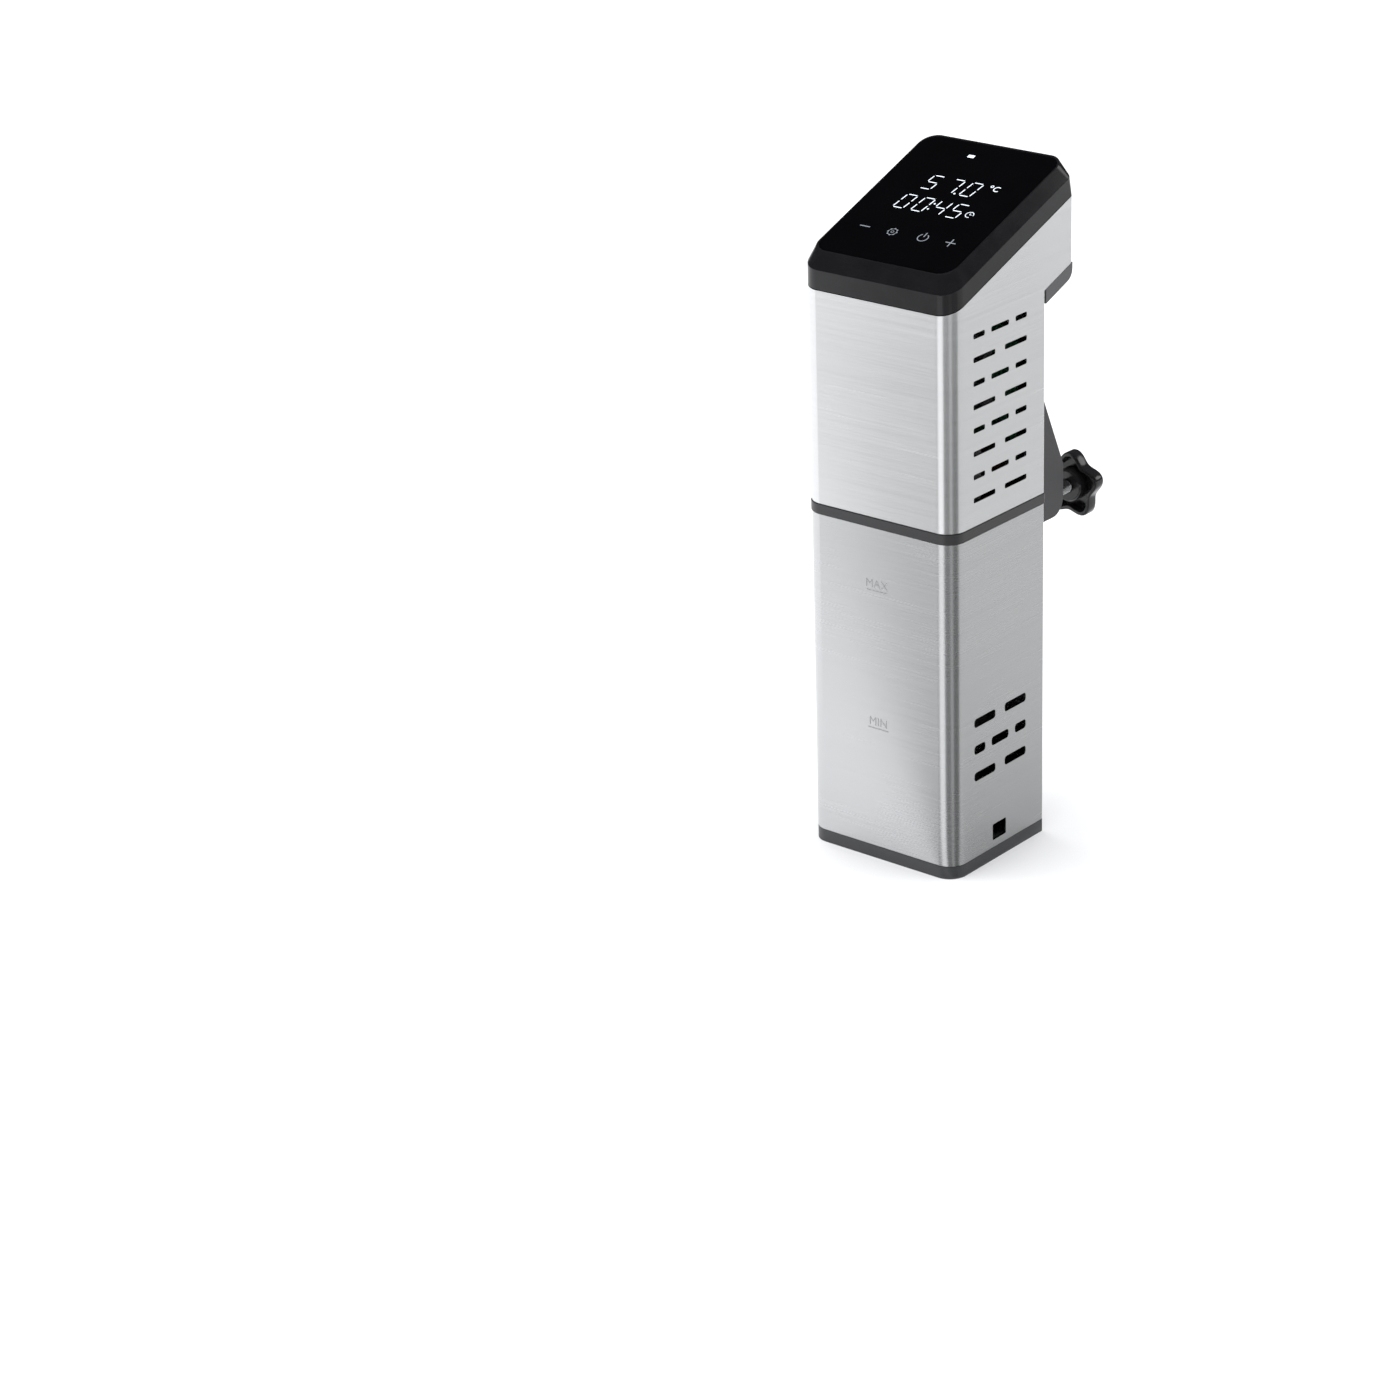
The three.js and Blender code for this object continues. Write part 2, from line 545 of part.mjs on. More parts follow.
// Drive: motor on a stool over the deck, its shaft down a stem to the pump, and a fan on top
const motorBottom = bandTop + 37;
const motorTop = motorBottom + 48;
const motorRadius = 24;
const canWall = 2;
const stoolThickness = 3;
const stoolLegs = [[-30, -13], [30, -13], [30, 7], [-30, 7]];
const stemRadius = 9;
const stemBottom = 40;
const pumpRadius = 30;
const pumpTop = stemBottom - gap;
const pumpRoof = 3;
const pumpBottom = footHeight + 4;
const impellerBottom = footHeight + 6;
const shaftTop = motorTop + 22;
{
  const legs = stoolLegs.map(([x, y]) => solid(rod(3, deckTop + gap, motorBottom - gap - 1, 10, x, y)));
  const seatBottom = motorBottom - gap - stoolThickness;
  const seat = solid(block(-34, 34, -26, 11, seatBottom, motorBottom - gap));
  const seatHole = solid(rod(7, seatBottom - 1, motorBottom + 1, 16));
  place("motor_stool", joined([seat, ...legs]).subtract(seatHole), castMetal);

  const bore = shaftRadius + runningGap;
  const can = turned(
    [[bore, motorBottom], [motorRadius, motorBottom], [motorRadius, motorTop], [bore, motorTop],
      [bore, motorTop - canWall], [motorRadius - canWall, motorTop - canWall],
      [motorRadius - canWall, motorBottom + canWall], [bore, motorBottom + canWall]],
    28,
  );
  place("motor_can", can, steel);
  place("shaft_seal", sleeve(bore, 11, deckTop + gap, deckTop + 5, 20), rubber);

  place("pump_stem", sleeve(stemRadius - 2, stemRadius, stemBottom, bandTop - gap, 20), brightSteel);
  place("stem_bushing", sleeve(bore, stemRadius - 2 - gap, stemBottom + 1, stemBottom + 13, 20), ceramic);
  const cup = turned(
    [[pumpRadius - 1.5, pumpBottom], [pumpRadius, pumpBottom], [pumpRadius, pumpTop], [bore + 1, pumpTop],
      [bore + 1, pumpTop - pumpRoof], [pumpRadius - 1.5, pumpTop - pumpRoof]],
    28,
  );
  const intakes = [0, 1, 2, 3].map((i) => {
    const angle = (i + 0.5) * (Math.PI / 2);
    return rod(5, pumpTop - pumpRoof - 1, pumpTop + 1, 12, 18 * Math.cos(angle), 18 * Math.sin(angle));
  });
  const outletTop = outletBottom + outletHeight;
  const outletCut = block(-40, 40, -outletWidth / 2, outletWidth / 2, pumpBottom - 1, outletTop);
  place("pump_cover", without(solid(cup), [...intakes, outletCut].map(solid)), darkPlastic);

  // Turning pieces: shaft, armature, impeller and fan
  place("pump_shaft", rod(shaftRadius, impellerBottom, shaftTop, 20), brightSteel);
  const onShaft = shaftRadius + gap;
  const armatureEnds = [motorBottom + canWall + 5, motorTop - canWall - 5];
  place("motor_armature", sleeve(onShaft, motorRadius - canWall - 1.2, ...armatureEnds, 24), copper);
  const bladed = (count, hubR, tipR, z0, z1, thickness, pitchAngle) => {
    const bladeLength = tipR - hubR + 1;
    const blades = Array.from({ length: count }, (_, i) => {
      const blade = new THREE.BoxGeometry(bladeLength, thickness, z1 - z0 - 1).rotateX(pitchAngle);
      blade.translate(hubR - 1 + bladeLength / 2, 0, (z0 + z1) / 2).rotateZ((i / count) * Math.PI * 2);
      return solid(blade);
    });
    const shaftHole = solid(rod(onShaft, z0 - 1, z1 + 1, 20));
    return joined([solid(rod(hubR, z0, z1, 20)), ...blades]).subtract(shaftHole);
  };
  place("pump_impeller", bladed(6, 7, 24, impellerBottom + gap, impellerBottom + 12, 1.6, 0), darkPlastic);
  const fanBottom = motorTop + 8;
  place("cooling_fan", bladed(7, 8, 27, fanBottom, fanBottom + 10, 1.4, Math.PI / 4), darkPlastic);
}

// Heater: a sheathed tube that winds three turns round the stem between two legs from the deck
{
  const coilTop = 150;
  const coilBottom = 66;
  const turns = 3;
  const legTop = deckTop + 12;
  const points = [];
  const [legX, legY] = heaterLegs[0];
  for (const z of [legTop, deckTop - 20, coilTop + 18]) {
    points.push(new THREE.Vector3(legX, legY, z));
  }
  const steps = turns * 12;
  const sweep = turns * Math.PI * 2 + heaterLegAngles[1] - heaterLegAngles[0];
  for (let i = 1; i <= steps; i++) {
    const angle = heaterLegAngles[0] + (i / steps) * sweep;
    const z = coilTop + (coilBottom - coilTop) * (i / steps);
    points.push(new THREE.Vector3(heaterRadius * Math.cos(angle), heaterRadius * Math.sin(angle), z));
  }
  const [returnX, returnY] = heaterLegs[1];
  for (const z of [coilBottom + 14, deckTop - 20, legTop]) {
    points.push(new THREE.Vector3(returnX, returnY, z));
  }
  const section = new THREE.Shape().absarc(0, 0, heaterTube, 0, Math.PI * 2);
  const path = new THREE.CatmullRomCurve3(points, false, "centripetal");
  const tube = new THREE.ExtrudeGeometry(section, { steps: 76, curveSegments: 4, extrudePath: path });
  place("heater_element", tube, brightSteel);
  heaterLegs.forEach(([x, y], i) => {
    const gland = sleeve(heaterTube + gap, 6.5, deckTop + gap, deckTop + 6, 12, x, y);
    place("heater_gland_" + (i + 1), gland, ceramic);
  });
  place("temperature_probe", rod(probeRadius, 55, deckTop + 8, 12, ...probeAt), brightSteel);
  for (const { name, at, tip } of levelRods) {
    place(name, rod(rodRadius, tip, deckTop + 8, 10, ...at), brightSteel);
  }
}

// Power electronics on a board behind the motor
{
  const boardFront = back - wall - 8;
  const boardBack = boardFront + 1.6;
  const parts = boardFront - gap;
  const boardBottom = deckTop + 4;
  place("power_board", block(-38, 38, boardFront, boardBack, boardBottom, boardBottom + 88), boardGreen);
  place("transformer", block(9, 37, 12, parts, boardBottom + 1, boardBottom + 23), copper);
  place("relay", block(-37, -17, 15, parts, boardBottom + 1, boardBottom + 18), darkPlastic);
  place("capacitor", rod(6, boardBottom + 1, boardBottom + 22, 16, -8, parts - 6.5), blackPlastic);
  const finBase = block(-22, 22, parts - 2, parts, boardBottom + 40, boardBottom + 84);
  const fins = [-21, -14, -7, 0, 7, 14, 21].map((x) =>
    block(x - 0.7, x + 0.7, parts - 6.5, parts - 1, boardBottom + 40, boardBottom + 84),
  );
  place("heat_sink", joined([finBase, ...fins].map(solid)), castMetal);
}

export default part;
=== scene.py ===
# A sous vide circulator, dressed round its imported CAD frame. Metres, +Z up, +Y towards the pot's wall.
import math

import bmesh
import bpy
from mathutils import Matrix, Vector


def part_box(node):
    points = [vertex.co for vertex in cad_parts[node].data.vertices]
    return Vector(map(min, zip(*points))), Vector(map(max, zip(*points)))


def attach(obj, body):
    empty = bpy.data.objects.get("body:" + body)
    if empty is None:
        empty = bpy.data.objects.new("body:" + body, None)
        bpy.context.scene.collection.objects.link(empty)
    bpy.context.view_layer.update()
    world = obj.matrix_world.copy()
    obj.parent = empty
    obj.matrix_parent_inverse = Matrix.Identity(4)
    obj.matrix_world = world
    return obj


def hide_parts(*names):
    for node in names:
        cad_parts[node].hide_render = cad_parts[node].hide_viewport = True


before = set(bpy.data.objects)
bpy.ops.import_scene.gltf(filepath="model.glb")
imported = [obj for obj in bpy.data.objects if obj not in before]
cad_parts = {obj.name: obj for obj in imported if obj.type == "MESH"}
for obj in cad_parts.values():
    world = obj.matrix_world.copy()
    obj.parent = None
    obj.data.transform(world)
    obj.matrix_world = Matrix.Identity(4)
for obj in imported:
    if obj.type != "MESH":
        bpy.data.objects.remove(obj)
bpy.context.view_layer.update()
mm = 0.001


# --- Studio -------------------------------------------------------------------------------------------
# A long lens looks down on the circulator from its front right. The floor is pale paper, lit by wide soft
# lamps from above. Grey mats on it, which only reflections see, shade the steel as a studio's flags do.
class Wire:
    """An output socket of a material's node tree. Arithmetic on wires adds Math nodes."""

    def __init__(self, tree, socket=None):
        self.tree = tree
        self.socket = socket

    def node(self, kind, settings=None, sockets=None, out=0):
        """Adds one node: its settings first, then a value or a wire for each named socket."""
        made = self.tree.nodes.new(kind)
        for key, value in (settings or {}).items():
            setattr(made, key, value)
        for key, value in (sockets or {}).items():
            if isinstance(value, Wire):
                self.tree.links.new(value.socket, made.inputs[key])
            else:
                made.inputs[key].default_value = value
        return Wire(self.tree, made.outputs[out])

    def maths(self, operation, first, second):
        """Adds a Math node on two wires or numbers."""
        return self.node("ShaderNodeMath", {"operation": operation}, {0: first, 1: second})

    def __add__(self, other):
        return self.maths("ADD", self, other)

    def __radd__(self, other):
        return self.maths("ADD", other, self)

    def __sub__(self, other):
        return self.maths("SUBTRACT", self, other)

    def __rsub__(self, other):
        return self.maths("SUBTRACT", other, self)

    def __mul__(self, other):
        return self.maths("MULTIPLY", self, other)

    def __rmul__(self, other):
        return self.maths("MULTIPLY", other, self)


def shader_of(name, **constants):
    """A new material with these values on its shader's own sockets, and a wire to build its nodes from."""
    material = bpy.data.materials.new(name)
    material.use_nodes = True
    shader = material.node_tree.nodes["Principled BSDF"]
    for key, value in constants.items():
        words = key.replace("_", " ").title().replace("Ior", "IOR")
        shader.inputs[words].default_value = value if not isinstance(value, tuple) else (*value, 1.0)
    return material, Wire(material.node_tree)


def drives(wire, socket):
    """Feeds the material's shader socket from this wire."""
    wire.tree.links.new(wire.socket, wire.tree.nodes["Principled BSDF"].inputs[socket])


def grain(start, scale, stretch=(1.0, 1.0, 1.0), detail=3.0, roughness=0.5):
    """Noise on the object's own coordinates, 0 to 1, with scale in features per metre."""
    where = start.node("ShaderNodeTexCoord", out="Object")
    scaled = start.node("ShaderNodeMapping", None, {"Vector": where, "Scale": stretch})
    sockets = {"Vector": scaled, "Scale": scale, "Detail": detail, "Roughness": roughness}
    return start.node("ShaderNodeTexNoise", None, sockets)


def tinted(start, factor, dark, light):
    """A colour between two, by factor. A Mix node's sockets go by number, because their names repeat."""
    sockets = {0: factor, 6: (*dark, 1.0), 7: (*light, 1.0)}
    return start.node("ShaderNodeMix", {"data_type": "RGBA"}, sockets, out=2)


scene = bpy.context.scene
scene.view_settings.view_transform = "Standard"

lens = bpy.data.cameras.new("camera")
lens.sensor_width = 36.0
lens.lens = 102.08
camera = bpy.data.objects.new("camera", lens)
scene.collection.objects.link(camera)
camera_place = Matrix.Translation((1.2427, -1.6509, 0.9737))
camera_turn = Matrix.Rotation(math.radians(40.517), 4, "Z")
camera_tilt = Matrix.Rotation(math.radians(66.755), 4, "X")
camera_roll = Matrix.Rotation(math.radians(-1.848), 4, "Z")
camera.matrix_world = camera_place @ camera_turn @ camera_tilt @ camera_roll
scene.camera = camera

paper, start = shader_of("floor_paper", Roughness=0.9, Specular_IOR_Level=0.1)
drives(tinted(start, grain(start, 900.0), (0.83, 0.83, 0.84), (0.86, 0.86, 0.87)), "Base Color")
bm = bmesh.new()
bmesh.ops.create_grid(bm, x_segments=1, y_segments=1, size=30.0)
floor_mesh = bpy.data.meshes.new("floor")
bm.to_mesh(floor_mesh)
bm.free()
floor_mesh.materials.append(paper)
floor = bpy.data.objects.new("floor", floor_mesh)
scene.collection.objects.link(floor)


def lamp(name, place, size, power, glossy=False):
    """A soft rectangle of light aimed at the circulator's middle, seen in gloss only if glossy."""
    aim = (0.0, 0.0, 0.2)
    light = bpy.data.lights.new(name, "AREA")
    light.shape = "RECTANGLE"
    light.size, light.size_y = size
    light.energy = power
    made = bpy.data.objects.new(name, light)
    scene.collection.objects.link(made)
    made.location = place
    made.rotation_euler = (Vector(aim) - Vector(place)).to_track_quat("-Z", "Y").to_euler()
    made.visible_glossy = glossy


lamp("overhead_soft", (-0.6, -0.4, 3.2), (4.5, 4.5), 125.0)
lamp("front_left_soft", (-2.6, -1.9, 1.7), (1.6, 1.8), 24.0)
lamp("right_soft", (2.6, 1.3, 1.6), (1.5, 1.8), 16.0)
lamp("back_right_glint", (1.35, 1.85, 1.15), (0.9, 0.9), 7.0, glossy=True)

world = bpy.data.worlds.new("studio")
world.use_nodes = True
scene.world = world
background = world.node_tree.nodes["Background"]
background.inputs["Color"].default_value = (0.98, 0.99, 1.0, 1.0)
sky = 0.8
sky_in_gloss = 0.03
reflected = Wire(world.node_tree).node("ShaderNodeLightPath", out="Is Glossy Ray")
strength = sky - reflected * (sky - sky_in_gloss)
world.node_tree.links.new(strength.socket, background.inputs["Strength"])

mat_corner = Vector((0.048, -0.038, 0.001))
fan_steps = 8
for name, (first_bearing, last_bearing), reach, shade in (
    ("mat_left", (-43.0, -20.0), 1.3, 0.38), ("mat_near", (12.0, 46.0), 1.3, 0.17),
    ("mat_middle", (46.0, 62.0), 1.3, 0.36), ("mat_right", (62.0, 97.0), 1.3, 0.13),
    ("mat_back", (97.0, 176.0), 1.6, 0.50),
):
    mat_grey, start = shader_of(name, Roughness=1.0, Specular_IOR_Level=0.0)
    drives(tinted(start, grain(start, 200.0), (shade * 0.95,) * 3, (shade * 1.05,) * 3), "Base Color")
    bm = bmesh.new()
    edge = [mat_corner]
    for step in range(fan_steps + 1):
        bearing = math.radians(first_bearing + (last_bearing - first_bearing) * step / fan_steps)
        edge.append(mat_corner + Vector((math.sin(bearing), -math.cos(bearing), 0.0)) * reach)
    bm.faces.new([bm.verts.new(point) for point in edge])
    mat_mesh = bpy.data.meshes.new(name)
    bm.to_mesh(mat_mesh)
    bm.free()
    mat_mesh.materials.append(mat_grey)
    mat = bpy.data.objects.new(name, mat_mesh)
    scene.collection.objects.link(mat)
    mat.visible_camera = False
    mat.visible_diffuse = False
    mat.visible_shadow = False


# --- Lower sleeve -------------------------------------------------------------------------------------
# A drawn tube of brushed stainless steel round the heater and the pump, open at both ends. Rows of slots
# and one square outlet in each side let water through. It pulls off downwards with the foot.
sleeve_low, sleeve_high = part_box("lower_sleeve")
steel_wall = 1.2 * mm
front_corner = 11.0 * mm
back_corner = 1.8 * mm
least_corner = 0.4 * mm
corner_steps = 12
through = 70 * mm
slot_short = ((-23.5, -13.2), (-7.3, 8.8), (14.9, 25.3))
slot_long = ((-23.5, -3.7), (5.1, 25.3))


def pulled(bm, lift):
    """Pulls a flat outline along lift into a closed slab."""
    lifted = bmesh.ops.extrude_face_region(bm, geom=bm.faces[:])["geom"]
    bmesh.ops.translate(bm, vec=lift, verts=[v for v in lifted if isinstance(v, bmesh.types.BMVert)])
    bmesh.ops.recalc_face_normals(bm, faces=bm.faces[:])
    return bm


def slab(points, lift, radii=(), steps=corner_steps):
    """A closed slab: a polygon with its corners rounded to radii, pulled along lift."""
    bm = bmesh.new()
    corners = [bm.verts.new(point) for point in points]
    bm.faces.new(corners)
    for corner, radius in zip(corners, radii):
        if radius:
            bmesh.ops.bevel(
                bm, geom=[corner], offset=radius, affect="VERTICES", segments=steps,
                profile=0.5, material=-1,
            )
    return pulled(bm, lift)


def rectangle(x0, x1, y0, y1, z):
    """The corners of a level rectangle at z."""
    return [(x0, y0, z), (x1, y0, z), (x1, y1, z), (x0, y1, z)]


def panel(x0, x1, z0, z1, y):
    """The corners of an upright rectangle at y."""
    return [(x0, y, z0), (x1, y, z0), (x1, y, z1), (x0, y, z1)]


def body_slab(low, high, inset, z0, z1):
    """The body's plan between two corners, drawn in by inset, as an upright slab."""
    points = rectangle(low.x + inset, high.x - inset, low.y + inset, high.y - inset, z0)
    inner_back = max(back_corner - inset, least_corner)
    radii = (front_corner - inset, front_corner - inset, inner_back, inner_back)
    return slab(points, (0.0, 0.0, z1 - z0), radii)


def put(name, bm):
    """An object from a bmesh, linked to the scene."""
    mesh = bpy.data.meshes.new(name)
    bm.to_mesh(mesh)
    bm.free()
    made = bpy.data.objects.new(name, mesh)
    scene.collection.objects.link(made)
    return made


def combined(base, tools, operation):
    """The bmesh left when each tool is cut from, or joined to, base."""
    target = put("target", base)
    helpers = [put("tool", tool) for tool in tools]
    for helper in helpers:
        step = target.modifiers.new("step", "BOOLEAN")
        step.operation = operation
        step.solver = "EXACT"
        step.object = helper
    evaluated = target.evaluated_get(bpy.context.evaluated_depsgraph_get())
    result = bmesh.new()
    result.from_mesh(evaluated.to_mesh())
    for made in [target, *helpers]:
        bpy.data.objects.remove(made)
    return result


def merged(parts):
    """Several bmeshes that don't touch, as one."""
    whole = bmesh.new()
    for part in parts:
        mesh = bpy.data.meshes.new("part")
        part.to_mesh(mesh)
        part.free()
        whole.from_mesh(mesh)
        bpy.data.meshes.remove(mesh)
    return whole


def side_cutter(y0, y1, z0, z1, radius, steps):
    """A bar with rounded corners that cuts through both sides of a shell."""
    points = [(-through, y0, z0), (-through, y1, z0), (-through, y1, z1), (-through, y0, z1)]
    return slab(points, (2 * through, 0.0, 0.0), (radius,) * 4, steps)


def side_slots(rows, height, radius):
    """Cutters for rows of slots, each row its middle height and its spans in millimetres."""
    return merged([
        side_cutter(y0 * mm, y1 * mm, z - height / 2, z + height / 2, radius, 5)
        for z, spans in rows for y0, y1 in spans
    ])


def finish(name, bm, body, material, nodes=(), edge=0.0, sharp=30.0, segments=2):
    """A finished piece: smooth but for its sharp edges, which edge rounds, riding on its body."""
    piece = put(name, bm)
    piece.data.materials.append(material)
    piece.data.shade_smooth()
    if edge:
        rounding = piece.modifiers.new("edges", "BEVEL")
        rounding.width = edge
        rounding.segments = segments
        rounding.limit_method = "ANGLE"
        rounding.angle_limit = math.radians(sharp)
        rounding.harden_normals = True
    else:
        piece.data.set_sharp_from_angle(angle=math.radians(sharp))
        weighting = piece.modifiers.new("flats", "WEIGHTED_NORMAL")
        weighting.keep_sharp = True
    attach(piece, body)
    if nodes:
        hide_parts(*nodes)


def raised(height, strength, distance):
    """Feeds Normal from a height."""
    sockets = {"Height": height, "Strength": strength, "Distance": distance}
    drives(height.node("ShaderNodeBump", None, sockets), "Normal")


def brushed_metal(name, dark, light, rough, depth):
    """Metal brushed round the body: fine level lines, faint broad bands and a few handling smears."""
    material, start = shader_of(name, Metallic=1.0)
    fine = grain(start, 1.0, (9.0, 9.0, 1700.0), 2.0)
    bands = grain(start, 1.0, (3.0, 3.0, 330.0), 3.0)
    smears = grain(start, 14.0, (1.0, 1.0, 1.0), 4.0, 0.6)
    tone = 0.5 + (fine - 0.5) * 1.2 + (bands - 0.5) * 0.5 + (smears - 0.5) * 0.4
    drives(tinted(start, tone, dark, light), "Base Color")
    drives(rough + (fine - 0.5) * 0.08 + (smears - 0.5) * 0.08, "Roughness")
    raised(fine * 0.7 + bands * 0.3, depth, 0.02 * mm)
    return material


sleeve_steel = brushed_metal("sleeve_steel", (0.51, 0.515, 0.52), (0.58, 0.585, 0.59), 0.26, 0.018)

slot_middle, slot_pitch = 73.4 * mm, 16.3 * mm
slot_height, slot_corner = 5.3 * mm, 1.9 * mm
slot_rows = [
    (slot_middle + slot_pitch, slot_long), (slot_middle, slot_short), (slot_middle - slot_pitch, slot_long),
]
outlet_half, outlet_low, outlet_high = 6.3 * mm, 12.2 * mm, 22.0 * mm
outlet = side_cutter(-outlet_half, outlet_half, outlet_low, outlet_high, 0.8 * mm, 3)
shell = body_slab(sleeve_low, sleeve_high, 0.0, sleeve_low.z, sleeve_high.z)
hollow = body_slab(sleeve_low, sleeve_high, steel_wall, sleeve_low.z - mm, sleeve_high.z + mm)
shell = combined(shell, [hollow, side_slots(slot_rows, slot_height, slot_corner), outlet], "DIFFERENCE")
finish("sleeve_shell", shell, "sleeve", sleeve_steel, ["lower_sleeve"])

# Level marks etched on the sleeve's front: a word over a line at the highest and the lowest water level
etched, start = shader_of("etched_marks", Metallic=0.8, Roughness=0.65)
drives(tinted(start, grain(start, 3000.0), (0.46, 0.46, 0.465), (0.54, 0.54, 0.545)), "Base Color")
mark_half = 7 * mm
mark_middle = -1 * mm
mark_skin = 0.04 * mm
word_height = 7.2 * mm
word_gap = 1.6 * mm
line_half = 0.35 * mm
for word, level in (("MAX", 163.3 * mm), ("MIN", 80.5 * mm)):
    curve = bpy.data.curves.new(word.lower() + "_word", "FONT")
    curve.body = word
    curve.size = word_height
    curve.align_x = "CENTER"
    curve.extrude = mark_skin / 2
    curve.resolution_u = 3
    lettering = bpy.data.objects.new("lettering", curve)
    scene.collection.objects.link(lettering)
    stand = Matrix.Translation((mark_middle, sleeve_low.y - mark_skin / 2, level + word_gap))
    outline = bpy.data.meshes.new_from_object(lettering)
    outline.transform(stand @ Matrix.Rotation(math.radians(90.0), 4, "X"))
    bpy.data.objects.remove(lettering)
    bm = slab(
        panel(mark_middle - mark_half, mark_middle + mark_half, level - line_half, level + line_half,
              sleeve_low.y - mark_skin),
        (0.0, mark_skin, 0.0),
    )
    bm.from_mesh(outline)
    finish("level_mark_" + word.lower(), bm, "sleeve", etched)


# --- Foot ---------------------------------------------------------------------------------------------
# A moulded foot of dark nylon that plugs into the sleeve's end, held by four screws from below. The screws
# are turned from bright steel, with domed heads and sockets.
def moulded(name, dark, light, rough, grain_size=0.35 * mm, depth=0.12):
    """Moulded plastic: a fine spark-eroded grain, slight mottling and a worn sheen."""
    material, start = shader_of(name, Specular_IOR_Level=0.5)
    texture = grain(start, 1.0 / grain_size, detail=2.0)
    mottle = grain(start, 60.0, detail=4.0)
    drives(tinted(start, mottle * 0.6 + texture * 0.4, dark, light), "Base Color")
    drives(rough + (mottle - 0.5) * 0.14, "Roughness")
    raised(texture, depth, 0.03 * mm)
    return material


def dress(material, *names):
    """Gives CAD nodes that keep their shape this material."""
    for name in names:
        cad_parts[name].data.materials.clear()
        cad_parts[name].data.materials.append(material)


dark_nylon = moulded("dark_nylon", (0.028, 0.029, 0.031), (0.05, 0.051, 0.054), 0.42)
dress(dark_nylon, "foot_plate")

bright_steel, start = shader_of("turned_steel", Metallic=1.0)
scuffs = grain(start, 700.0, detail=4.0)
drives(tinted(start, scuffs, (0.52, 0.53, 0.54), (0.74, 0.75, 0.76)), "Base Color")
drives(0.24 + (scuffs - 0.5) * 0.16, "Roughness")
raised(scuffs, 0.15, 0.02 * mm)


def ring_profile(points, centre, axis, steps=48):
    """Turns a profile of (radius, height) points about an axis through centre into a closed solid."""
    bm = bmesh.new()
    verts = [bm.verts.new((radius, 0.0, height)) for radius, height in points]
    loop = list(zip(verts, verts[1:]))
    if points[0][0] > 0:
        loop.append((verts[-1], verts[0]))
    edges = [bm.edges.new(pair) for pair in loop]
    bmesh.ops.spin(
        bm, geom=verts + edges, cent=(0, 0, 0), axis=(0, 0, 1), dvec=(0, 0, 0), angle=math.tau,
        steps=steps, use_merge=True,
    )
    bmesh.ops.remove_doubles(bm, verts=bm.verts[:], dist=1e-7)
    turn = {"Z": 0.0, "Y": -90.0, "-Z": 180.0}[axis]
    bm.transform(Matrix.Translation(centre) @ Matrix.Rotation(math.radians(turn), 4, "X"))
    bmesh.ops.recalc_face_normals(bm, faces=bm.faces[:])
    return bm


def screw_piece(node, axis, body, head_share):
    """A domed screw in place of a CAD one. head_share is its head's height over its radius."""
    low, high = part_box(node)
    middle = (low + high) / 2
    radius = (high.x - low.x) / 2
    height = radius * head_share
    if axis == "Y":
        seat = Vector((middle.x, high.y - height, middle.z))
        length = seat.y - low.y
    else:
        seat = Vector((middle.x, middle.y, low.z + height))
        length = high.z - seat.z
    core = radius * 0.5
    shank = ring_profile([(0.0, 0.0), (core, 0.0), (core, -length), (0.0, -length)], seat, axis, 20)
    dome = [
        (0.0, height * 0.35), (core, height * 0.35), (core, height), (radius * 0.72, height),
        (radius * 0.93, height * 0.72), (radius, height * 0.35), (radius, 0.0), (0.0, 0.0),
    ]
    screw = merged([shank, ring_profile(dome, seat, axis, 30)])
    finish(node + "_dressed", screw, body, bright_steel, [node], edge=0.1 * mm)


for number in range(1, 5):
    screw_piece(f"foot_screw_{number}", "-Z", "sleeve", 0.69)
for number in range(1, 5):
    screw_piece(f"cover_screw_{number}", "Y", "main", 0.58)
    screw_piece(f"bracket_screw_{number}", "Y", "main", 0.58)


# --- Band ---------------------------------------------------------------------------------------------
# A black seal between the dry head and the wet sleeve, standing a little proud of both. It is a moulded
# ring, held between the housing's lower end and the sleeve's upper one.
band_low, band_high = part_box("band_gasket")
seal_black = moulded("seal_black", (0.02, 0.02, 0.021), (0.033, 0.033, 0.035), 0.38)
band_width = 4.4 * mm
ring = body_slab(band_low, band_high, 0.0, band_low.z, band_high.z)
ring_hollow = body_slab(band_low, band_high, band_width, band_low.z - mm, band_high.z + mm)
ring = combined(ring, [ring_hollow], "DIFFERENCE")
finish("seal_band", ring, "main", seal_black, ["band_gasket"], 0.35 * mm)


# --- Upper housing ------------------------------------------------------------------------------------
# One folded shell of brushed steel, a little brighter than the sleeve, with eight rows of vents in each
# side. Its top is cut at the display's slope, and its head reaches back over the rear cover.
brushed_steel = brushed_metal("housing_steel", (0.62, 0.625, 0.63), (0.72, 0.725, 0.73), 0.25, 0.05)
shell_low, shell_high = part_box("upper_housing")
glass_low, glass_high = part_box("touch_glass")
slope = math.radians(20.4)
rise = math.tan(slope)
body_back = sleeve_high.y
front_height = shell_high.z - (shell_high.y - shell_low.y) * rise


def edge_at(y):
    """Height of the housing's sloped upper edge at y."""
    return front_height + (y - shell_low.y) * rise


head_depth = 37.5 * mm
head_bottom = edge_at(body_back) - head_depth
vent_top = shell_low.z + 107.8 * mm
vent_pitch = 13.27 * mm
vent_height, vent_corner = 3 * mm, 1 * mm
vent_rows = [(vent_top - vent_pitch * row, slot_long if row % 2 else slot_short) for row in range(8)]


